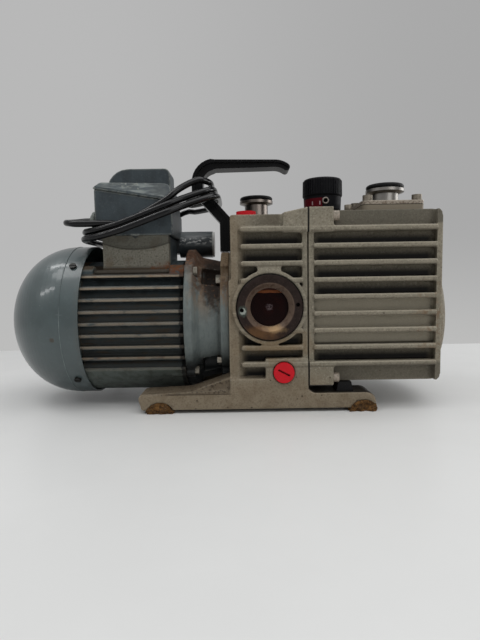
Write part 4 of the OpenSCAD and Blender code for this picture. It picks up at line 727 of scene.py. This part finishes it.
def knob_black():
    """Matte black knob with a dark red dial band on its lower left."""
    f = Finish("knob_black", srgb(12, 12, 15), 0.5, Specular_IOR_Level=0.08)
    f.layer(f.patches(3, 0.48, 0.64), srgb(18, 18, 21), 0.6, 0.5)
    along = f.math("SUBTRACT", f.axis("X"), KNOB[0])
    angle = f.math("ARCTAN2", f.math("SUBTRACT", f.axis("Y"), KNOB[1]), along)
    left = f.times(f.step(angle, -3.30, -3.25), f.step(angle, -1.72, -1.76))
    on_knob = f.near((*KNOB, 226), 30, 0.5)
    f.layer(f.times(left, on_knob, f.band("Z", *KNOB_BAND_Z, 0.2)), srgb(74, 6, 16), 0.5)
    for mark in DIAL_MARKS:
        beside = f.math("ABSOLUTE", f.math("SUBTRACT", angle, math.radians(mark)))
        line = f.times(f.step(beside, 0.036, 0.026), f.band("Z", 214, 218, 0.2))
        f.layer(f.times(line, on_knob), srgb(156, 138, 140), 0.5, 0.85)
    f.layer(f.times(f.edge(0.9), f.patches(3, 0.54, 0.64)), srgb(46, 45, 46), 0.6, 0.5)
    f.bump(f.noise(0.9, 2.0), 0.05)
    return f.done()


def plug_red():
    """Red moulded plugs: scratched faces, painted shade in the slots."""
    f = Finish("plug_red", srgb(192, 18, 31), 0.5, Specular_IOR_Level=0.2)
    f.layer(f.patches(6, 0.46, 0.64), srgb(184, 16, 30), 0.55, 0.6)
    f.layer(f.patches(1.2, 0.64, 0.70, stretch=(1, 1, 6)), srgb(216, 70, 76), 0.6, 0.35)
    f.layer(f.spots(4, 0.25, 0.1), srgb(96, 12, 18), 0.6, 0.7)
    # Painted shade in the slots and hollows.
    f.layer(f.recess(2.2, 0.75, 0.4), srgb(20, 5, 6), 0.7, 0.95)
    f.bump(f.noise(1.2, 2.0), 0.05)
    return f.done()


def ring_metal():
    """Dark oily sight-glass ring: paler bevel, a painted golden reflection and a painted highlight at the
    bottom, painted shade in the gap round it, in the left hole and in crevices, pale corrosion round the left
    hole.
    """
    f = Finish("ring_metal", srgb(44, 35, 32), 0.45, metallic=0.2, Specular_IOR_Level=0.1)
    f.layer(f.patches(9, 0.42, 0.62), srgb(34, 26, 23), 0.5, 0.8)
    f.layer(f.patches(1.8, 0.55, 0.66), srgb(66, 56, 50), strength=0.5)
    inner = f.near(SIGHT, 24.2, 0.6, stretch=(1, 9, 1))
    f.layer(inner, srgb(104, 88, 76), 0.36, 0.8)
    f.layer(f.times(inner, f.patches(6, 0.46, 0.62, seed=3)), srgb(68, 52, 43), 0.45, 0.8)
    # Painted reflection: golden at the bottom of the ring.
    bottom = f.near((SIGHT[0] - 10, SIGHT[1], SIGHT[2] - 26), 10, 8, ragged=6, stretch=(1.5, 2, 0.6))
    f.layer(bottom, srgb(110, 79, 50), 0.38, 0.6)
    # Painted highlight on the bevel's bottom.
    shine = f.near((SIGHT[0] + 5, SIGHT[1], SIGHT[2] - 21), 5, 4, ragged=3, stretch=(1.6, 4, 0.6))
    f.layer(shine, srgb(172, 142, 104), 0.3, 0.75)
    hole = (SIGHT[0] - PIN_R * math.cos(PIN_TURN), SIGHT[1], SIGHT[2] - PIN_R * math.sin(PIN_TURN))
    # Painted shade: a black gap round the outside of the ring.
    rim = f.math("SUBTRACT", 1.0, f.near(SIGHT, RING_R - 0.9, 0.3, stretch=(1, 9, 1)))
    f.layer(rim, srgb(10, 8, 7), 0.6)
    crust = (hole[0] + 1.0, hole[1], hole[2] - 1.0)
    f.layer(f.near(crust, 4.6, 1.0, ragged=1.0, stretch=(1, 3, 1.2), grain=3), srgb(66, 74, 68), 0.7, 0.7)
    f.layer(f.near(crust, 2.9, 0.6, ragged=0.9, stretch=(1, 3, 1.1), grain=2), srgb(152, 158, 150), 0.7, 0.9)
    # Painted shade inside the left hole.
    f.layer(f.near(hole, 2.0, 0.2, stretch=(1, 9, 1)), srgb(14, 13, 12), 0.7)
    # Painted shade in crevices.
    f.layer(f.recess(3, 0.8, 0.35, local=False), srgb(12, 9, 8), 0.6, 0.95)
    f.bump(f.noise(1.4, 3.0), 0.12)
    return f.done()


def sight_glass():
    """The glass with old oil close behind it: black red, a brown film on top, a grey spot in the middle."""
    f = Finish("sight_glass", srgb(24, 8, 8), 0.08, IOR=1.15, Transmission_Weight=0.2)
    f.layer(f.patches(9, 0.44, 0.66), srgb(36, 13, 11), strength=0.7)
    height = f.math("ADD", f.axis("Z"), f.math("MULTIPLY", f.noise(6), 1.6))
    f.layer(f.step(height, SIGHT[2] + 14.6, SIGHT[2] + 15.4), srgb(120, 70, 42), 0.2)
    f.layer(f.step(height, SIGHT[2] + 17.2, SIGHT[2] + 17.8), srgb(60, 32, 24), 0.1)
    middle = f.near(SIGHT, 3.2, 1.2, ragged=1.4, stretch=(1, 9, 1), grain=2)
    f.layer(f.times(middle, f.patches(1.4, 0.42, 0.54)), srgb(104, 92, 94), 0.3, 0.7)
    return f.done()


def dark_oil():
    """Old oil behind the glass."""
    f = Finish("dark_oil", srgb(34, 10, 9), 0.4, Specular_IOR_Level=0.05)
    f.layer(f.patches(8, 0.46, 0.66), srgb(46, 14, 12), strength=0.7)
    return f.done()


def rubber(name, colour, roughness, dust, amount, gloss):
    """Rubber in two tones with dust on it."""
    f = Finish(name, colour, roughness, Specular_IOR_Level=gloss)
    f.layer(f.patches(6, 0.44, 0.64), tinted(colour, 1.5), roughness + 0.1, 0.6)
    f.layer(f.patches(1.4, 0.56, 0.68, seed=3), dust, 0.85, amount)
    f.bump(f.noise(1.0, 2.0), 0.06)
    return f.done()


def cord_rubber():
    """Smooth black cord sheath with a soft shine, dusty in places."""
    f = Finish("cord_rubber", srgb(9, 9, 11), 0.16, Specular_IOR_Level=0.3)
    f.layer(f.patches(30, 0.46, 0.62), srgb(14, 14, 16), 0.22, 0.8)
    return f.done()


def foot_rubber():
    """Perished brown rubber, lumpy and crumbling."""
    f = Finish("foot_rubber", srgb(72, 53, 34), 0.85, Specular_IOR_Level=0.1)
    f.layer(f.patches(5, 0.44, 0.58), srgb(104, 74, 42), strength=0.9)
    f.layer(f.patches(2.2, 0.52, 0.60, seed=3), srgb(44, 31, 20), strength=0.9)
    f.layer(f.patches(1.2, 0.58, 0.66, seed=5), srgb(146, 108, 62), strength=0.7)
    f.layer(f.spots(3.2, 0.5, 0.24, seed=2), srgb(26, 18, 12), strength=0.8)
    f.bump(f.noise(3.0, 3.0), 1.2)
    f.bump(f.noise(1.0, 3.0), 0.4)
    return f.done()


def capacitor_can():
    """Dark can with a painted highlight and silver scratches along its top, and a white end."""
    f = Finish("capacitor_can", srgb(56, 63, 66), 0.34, Coat_Weight=0.2)
    f.layer(f.patches(8, 0.44, 0.62), srgb(44, 50, 53), 0.42, 0.8)
    end_x, _, top_z = box_mm("capacitor")[1]
    # Painted highlight: the top of the can is paler and glossier.
    top = f.step(f.axis("Z"), top_z - 16, top_z - 2)
    f.layer(top, srgb(104, 110, 111), 0.3, 0.6)
    middle = f.band("Z", top_z - 16, top_z - 9, 3)
    f.layer(f.times(middle, f.patches(4.5, 0.52, 0.57, stretch=(1.4, 1, 0.7))), srgb(202, 203, 200), 0.4)
    f.layer(f.step(f.axis("X"), end_x - 2.4, end_x - 2.0), srgb(206, 206, 202), 0.5)
    f.bump(f.noise(3, 2.0), 0.05)
    return f.done()


def moulding(name, colour, roughness, second, grain):
    """A plain moulded or woven inner piece with two tones."""
    f = Finish(name, colour, roughness)
    f.layer(f.patches(grain, 0.42, 0.60), second, roughness + 0.08, 0.8)
    f.bump(f.noise(grain / 2, 3.0), 0.15)
    return f.done()


GRIME = srgb(52, 43, 33)
RUST = srgb(104, 66, 40)
DUST = srgb(92, 88, 80)

finishes = {
    "cast_alloy": cast_alloy(),
    "cover_paint": cover_paint(),
    "frame_paint": frame_paint(),
    "shield_paint": shield_paint(),
    "box_paint": box_paint("box_paint", flaked=False),
    "lid_paint": box_paint("lid_paint", flaked=True),
    "steel": metal("steel", srgb(168, 162, 150), 0.36, RUST, 0.8),
    "dull_screw": metal("dull_screw", srgb(126, 119, 108), 0.5, GRIME, 0.8),
    "dull_bolt": moulding("dull_bolt", srgb(150, 138, 124), 0.55, srgb(112, 104, 90), 2.0),
    "tie_rod": tie_rod(),
    "black_screw": metal("black_screw", srgb(58, 58, 57), 0.45, GRIME, 0.6),
    "gland_grey": moulding("gland_grey", srgb(112, 118, 112), 0.5, srgb(92, 97, 92), 3.0),
    "seam_paint_and_shade": seam_paint_and_shade(),
    "port_metal": port_metal(),
    "iron": metal("iron", srgb(120, 120, 120), 0.4, GRIME, 0.6, turned=0.04),
    "bronze": metal("bronze", srgb(176, 138, 84), 0.35, GRIME, 0.6, turned=0.04),
    "copper": metal("copper", srgb(186, 112, 72), 0.32, srgb(70, 34, 20), 0.6),
    "ring_metal": ring_metal(),
    "sight_glass": sight_glass(),
    "dark_oil": dark_oil(),
    "handle_black": handle_black(),
    "knob_black": knob_black(),
    "plug_red": plug_red(),
    "black_rubber": rubber("black_rubber", srgb(11, 11, 12), 0.5, DUST, 0.12, 0.15),
    "foot_rubber": foot_rubber(),
    "cord_rubber": cord_rubber(),
    "vane_composite": moulding("vane_composite", srgb(96, 66, 46), 0.5, srgb(78, 50, 34), 2.0),
    "filter": moulding("filter", srgb(196, 186, 158), 0.85, srgb(160, 148, 118), 1.5),
    "capacitor_can": capacitor_can(),
    "spider_rubber": rubber("spider_rubber", srgb(150, 44, 34), 0.6, DUST, 0.3, 0.4),
}

OWN_FINISH = {
    "motor_frame": "frame_paint",
    "drive_end_shield": "shield_paint",
    "fan_end_shield": "shield_paint",
    "fan_cover": "cover_paint",
    "fan_cover_screws": "black_screw",
    "handle_screws": "black_screw",
    "exhaust_flange_screws": "dull_screw",
    "cable_gland": "gland_grey",
    "terminal_box_lid": "lid_paint",
    "case_bolts": "dull_bolt",
    "tie_bolts": "tie_rod",
}


def dress(obj, finish):
    """Replaces what an object wears by one of the finishes."""
    obj.data.materials.clear()
    obj.data.materials.append(finishes[finish])


for part in frame["record"]["subparts"]:
    dress(NODES[part["node"]], OWN_FINISH.get(part["node"], part["material_slot"]))
dress(mains_cord, "cord_rubber")


# Castings and mouldings: sharp edges are rounded as a mould leaves them

CAST = {
    "pump_housing": 0.9,
    "oil_case": 0.9,
    "motor_frame": 0.8,
    "drive_end_shield": 0.9,
    "terminal_box": 0.8,
    "terminal_box_lid": 0.8,
    "capacitor_box": 0.9,
}
ROUNDING_PASSES = 4
SMOOTH_FACTOR = 0.5

for name, voxel in CAST.items():
    remesh = NODES[name].modifiers.new("rounding", "REMESH")
    remesh.mode = "VOXEL"
    remesh.voxel_size = voxel * MM
    remesh.use_smooth_shade = True
    soft = NODES[name].modifiers.new("soft_edges", "SMOOTH")
    soft.factor = SMOOTH_FACTOR
    soft.iterations = ROUNDING_PASSES


# Perished feet: lumpy outlines, moved along the floor only

FOOT_VOXEL = 0.8
FOOT_PASSES = 3
LUMP_SIZE = 7
LUMP_DEPTH = 9


def crumble(node, size, depth):
    """Moves the surface of a node in X and Y by soft noise, so that its outline gets lumpy."""
    mesh = node.modifiers.new("lumps_mesh", "REMESH")
    mesh.mode = "VOXEL"
    mesh.voxel_size = FOOT_VOXEL * MM
    for direction in "XY":
        noise = bpy.data.textures.new("lumps_" + direction, "CLOUDS")
        noise.noise_scale = size * MM
        noise.noise_depth = 2
        lumps = node.modifiers.new("lumps_" + direction, "DISPLACE")
        lumps.texture = noise
        lumps.texture_coords = "LOCAL"
        lumps.direction = direction
        lumps.mid_level = 0.5
        lumps.strength = depth * MM
    soft = node.modifiers.new("lumps_soft", "SMOOTH")
    soft.factor = SMOOTH_FACTOR
    soft.iterations = FOOT_PASSES


crumble(NODES["rubber_feet"], LUMP_SIZE, LUMP_DEPTH)


# Small pieces that are only in the picture

def lathe(name, profile, steps=48):
    """A turned piece about Z from (radius, height) points, in millimetres."""
    mesh = bpy.data.meshes.new(name)
    bm = bmesh.new()
    rings = []
    for i in range(steps):
        a = 2 * math.pi * i / steps
        rings.append([bm.verts.new((r * math.cos(a) * MM, r * math.sin(a) * MM, z * MM)) for r, z in profile])
    for i in range(steps):
        for j in range(len(profile) - 1):
            here, there = rings[i], rings[(i + 1) % steps]
            bm.faces.new((here[j], there[j], there[j + 1], here[j + 1]))
    bmesh.ops.remove_doubles(bm, verts=bm.verts, dist=0.01 * MM)
    bmesh.ops.recalc_face_normals(bm, faces=bm.faces)
    bm.to_mesh(mesh)
    bm.free()
    for face in mesh.polygons:
        face.use_smooth = True
    obj = bpy.data.objects.new(name, mesh)
    SCENE.collection.objects.link(obj)
    rounding = obj.modifiers.new("edges", "BEVEL")
    rounding.width = 0.2 * MM
    rounding.segments = 2
    return obj


def settle(obj, body, finish):
    """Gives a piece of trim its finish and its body."""
    dress(obj, finish)
    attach(obj, body)


SEAM_D = 0.9
SEAM_R = box_mm("fan_cover")[1][2] - SHAFT_Z
seam = [
    (SEAM_X, SEAM_R * math.cos(math.radians(a)), SHAFT_Z + SEAM_R * math.sin(math.radians(a)))
    for a in range(0, 360, 3)
]
seam_bead = tube("cover_seam_bead", seam, SEAM_D, closed=True)
settle(seam_bead, "pump", "seam_paint_and_shade")

OIL_R = 19.4
OIL_DEPTH = 1.2
OIL_BACK = 1.4
oil = lathe("oil_behind_glass", [(0, 0), (OIL_R, 0), (OIL_R, OIL_DEPTH), (0, OIL_DEPTH)])
glass_back = box_mm("sight_glass")[1][1]
oil_place = Vector((SIGHT[0], glass_back + OIL_BACK, SIGHT[2])) * MM
oil.matrix_world = Matrix.Translation(oil_place) @ Matrix.Rotation(math.pi / 2, 4, "X")
settle(oil, "pump", "dark_oil")

AIR_HOLE_ANGLE = math.radians(-90)
AIR_HOLE_Z = 218
AIR_HOLE_R = 21.1
BUSH_SUNK = 1.6
BUSH_PROFILE = [(2.2, 0), (2.2, 2.4), (3.0, 2.8), (3.8, 2.4), (3.8, 0)]
air_hole = lathe("air_hole_bush", BUSH_PROFILE, 32)
air_hole.matrix_world = (
    Matrix.Translation(Vector((*KNOB, AIR_HOLE_Z)) * MM)
    @ Matrix.Rotation(AIR_HOLE_ANGLE, 4, "Z")
    @ Matrix.Rotation(math.pi / 2, 4, "Y")
    @ Matrix.Translation((0, 0, (AIR_HOLE_R - BUSH_SUNK) * MM))
)
settle(air_hole, "ballast_knob", "port_metal")

SCREW_HEAD = [(0, 0), (4.0, 0), (4.0, 6.8), (2.4, 6.8), (2.4, 3.8), (0, 3.8)]
SCREW_PLACES = [(128, -60), (143.7, -22)]
SCREW_SUNK = 0.1
for number, place in enumerate(SCREW_PLACES, 1):
    screw = lathe("case_top_screw_%d" % number, SCREW_HEAD, 32)
    screw.matrix_world = Matrix.Translation(Vector((*place, CASE_TOP - SCREW_SUNK)) * MM)
    settle(screw, "pump", "dull_screw")


# Studio: a pale table, a pale room and soft light from above

FLOOR_BACK = 0.386
FLOOR_REACH = 3.0


def plain_floor():
    """Pale table top with a faint sheen."""
    f = Finish("floor", srgb(213, 213, 211), 0.35)
    f.layer(f.patches(400, 0.40, 0.62), srgb(208, 208, 206), 0.42)
    return f.done()


floor_mesh = bpy.data.meshes.new("floor")
left, right, front = -FLOOR_REACH, FLOOR_REACH, -FLOOR_REACH
corners = [(left, front, 0), (right, front, 0), (right, FLOOR_BACK, 0), (left, FLOOR_BACK, 0)]
floor_mesh.from_pydata(corners, [], [(0, 1, 2, 3)])
floor_mesh.materials.append(plain_floor())
floor = bpy.data.objects.new("floor", floor_mesh)
SCENE.collection.objects.link(floor)


WALL_LEFT = srgb(184, 184, 184)
WALL_RIGHT = srgb(168, 168, 168)
WALL_LOW = srgb(188, 188, 187)
ROOM_SIDES = srgb(150, 151, 153)
ROOM_ABOVE = srgb(236, 238, 242)
ROOM_STRENGTH = 0.62


def direction_shade(tree, axis, low, high, first, second):
    """A colour that goes from first to second along one axis of the direction."""
    inputs = {"Value": axis, "From Min": low, "From Max": high}
    span = add_node(tree, "MapRange", inputs, interpolation_type="SMOOTHSTEP")
    inputs = {0: span.outputs[0], 6: first, 7: second}
    return add_node(tree, "Mix", inputs, data_type="RGBA").outputs[2]


def pale_room():
    """The wall is seen pale, darker to the right and brighter low down; the room lights mostly from above."""
    world = bpy.data.worlds.new("room")
    world.use_nodes = True
    tree = world.node_tree
    generated = add_node(tree, "TexCoord").outputs["Generated"]
    direction = add_node(tree, "SeparateXYZ", {0: generated})
    along, up = direction.outputs[0], direction.outputs[2]
    wall = direction_shade(tree, along, -0.35, 0.45, WALL_LEFT, WALL_RIGHT)
    wall = direction_shade(tree, up, -0.16, 0.12, WALL_LOW, wall)
    seen = tree.nodes["Background"]
    feed(tree, seen.inputs["Color"], wall)
    room = direction_shade(tree, up, 0.1, 0.8, ROOM_SIDES, ROOM_ABOVE)
    light = add_node(tree, "Background", {"Color": room, "Strength": ROOM_STRENGTH})
    path = add_node(tree, "LightPath")
    direct = path.outputs["Is Camera Ray"]
    for name in ("Is Glossy Ray", "Is Transmission Ray"):
        rays = {0: direct, 1: path.outputs[name]}
        direct = add_node(tree, "Math", rays, operation="MAXIMUM").outputs[0]
    shaders = {0: direct, 1: light.outputs[0], 2: seen.outputs[0]}
    choose = add_node(tree, "MixShader", shaders)
    feed(tree, tree.nodes["World Output"].inputs["Surface"], choose.outputs[0])
    SCENE.world = world


def area_light(name, place, target, size, power, roll=0):
    """A rectangular lamp, in metres and watts, turned about its own axis by roll degrees."""
    lamp = bpy.data.lights.new(name, "AREA")
    lamp.shape = "RECTANGLE"
    lamp.size, lamp.size_y = size
    lamp.energy = power
    obj = bpy.data.objects.new(name, lamp)
    obj.location = place
    aim = (Vector(target) - Vector(place)).to_track_quat("-Z", "Y")
    obj.rotation_euler = (aim @ Quaternion((0, 0, 1), math.radians(roll))).to_euler()
    SCENE.collection.objects.link(obj)


pale_room()
area_light("ceiling", (0.45, -0.4, 1.5), (0, 0, 0.1), (2.2, 1.3), 15)
area_light("tube_above", (-0.74, 0.11, 1.19), (-0.173, -0.057, 0.149), (0.10, 0.42), 1.2)
area_light("tube_left", (-0.95, -0.61, 0.87), (-0.176, -0.074, 0.124), (0.46, 0.09), 1.2, roll=45)
area_light("strip_front", (-0.57, -0.26, 1.25), (-0.16, -0.06, 0.145), (0.34, 0.5), 1.8)
area_light("right_low", (1.3, 0.35, 0.45), (0.15, 0, 0.02), (0.8, 0.5), 4)
area_light("front_fill", (1.1, -1.9, 0.7), (0, 0, 0.1), (1.2, 1.0), 7)

SCENE.view_settings.view_transform = "Standard"
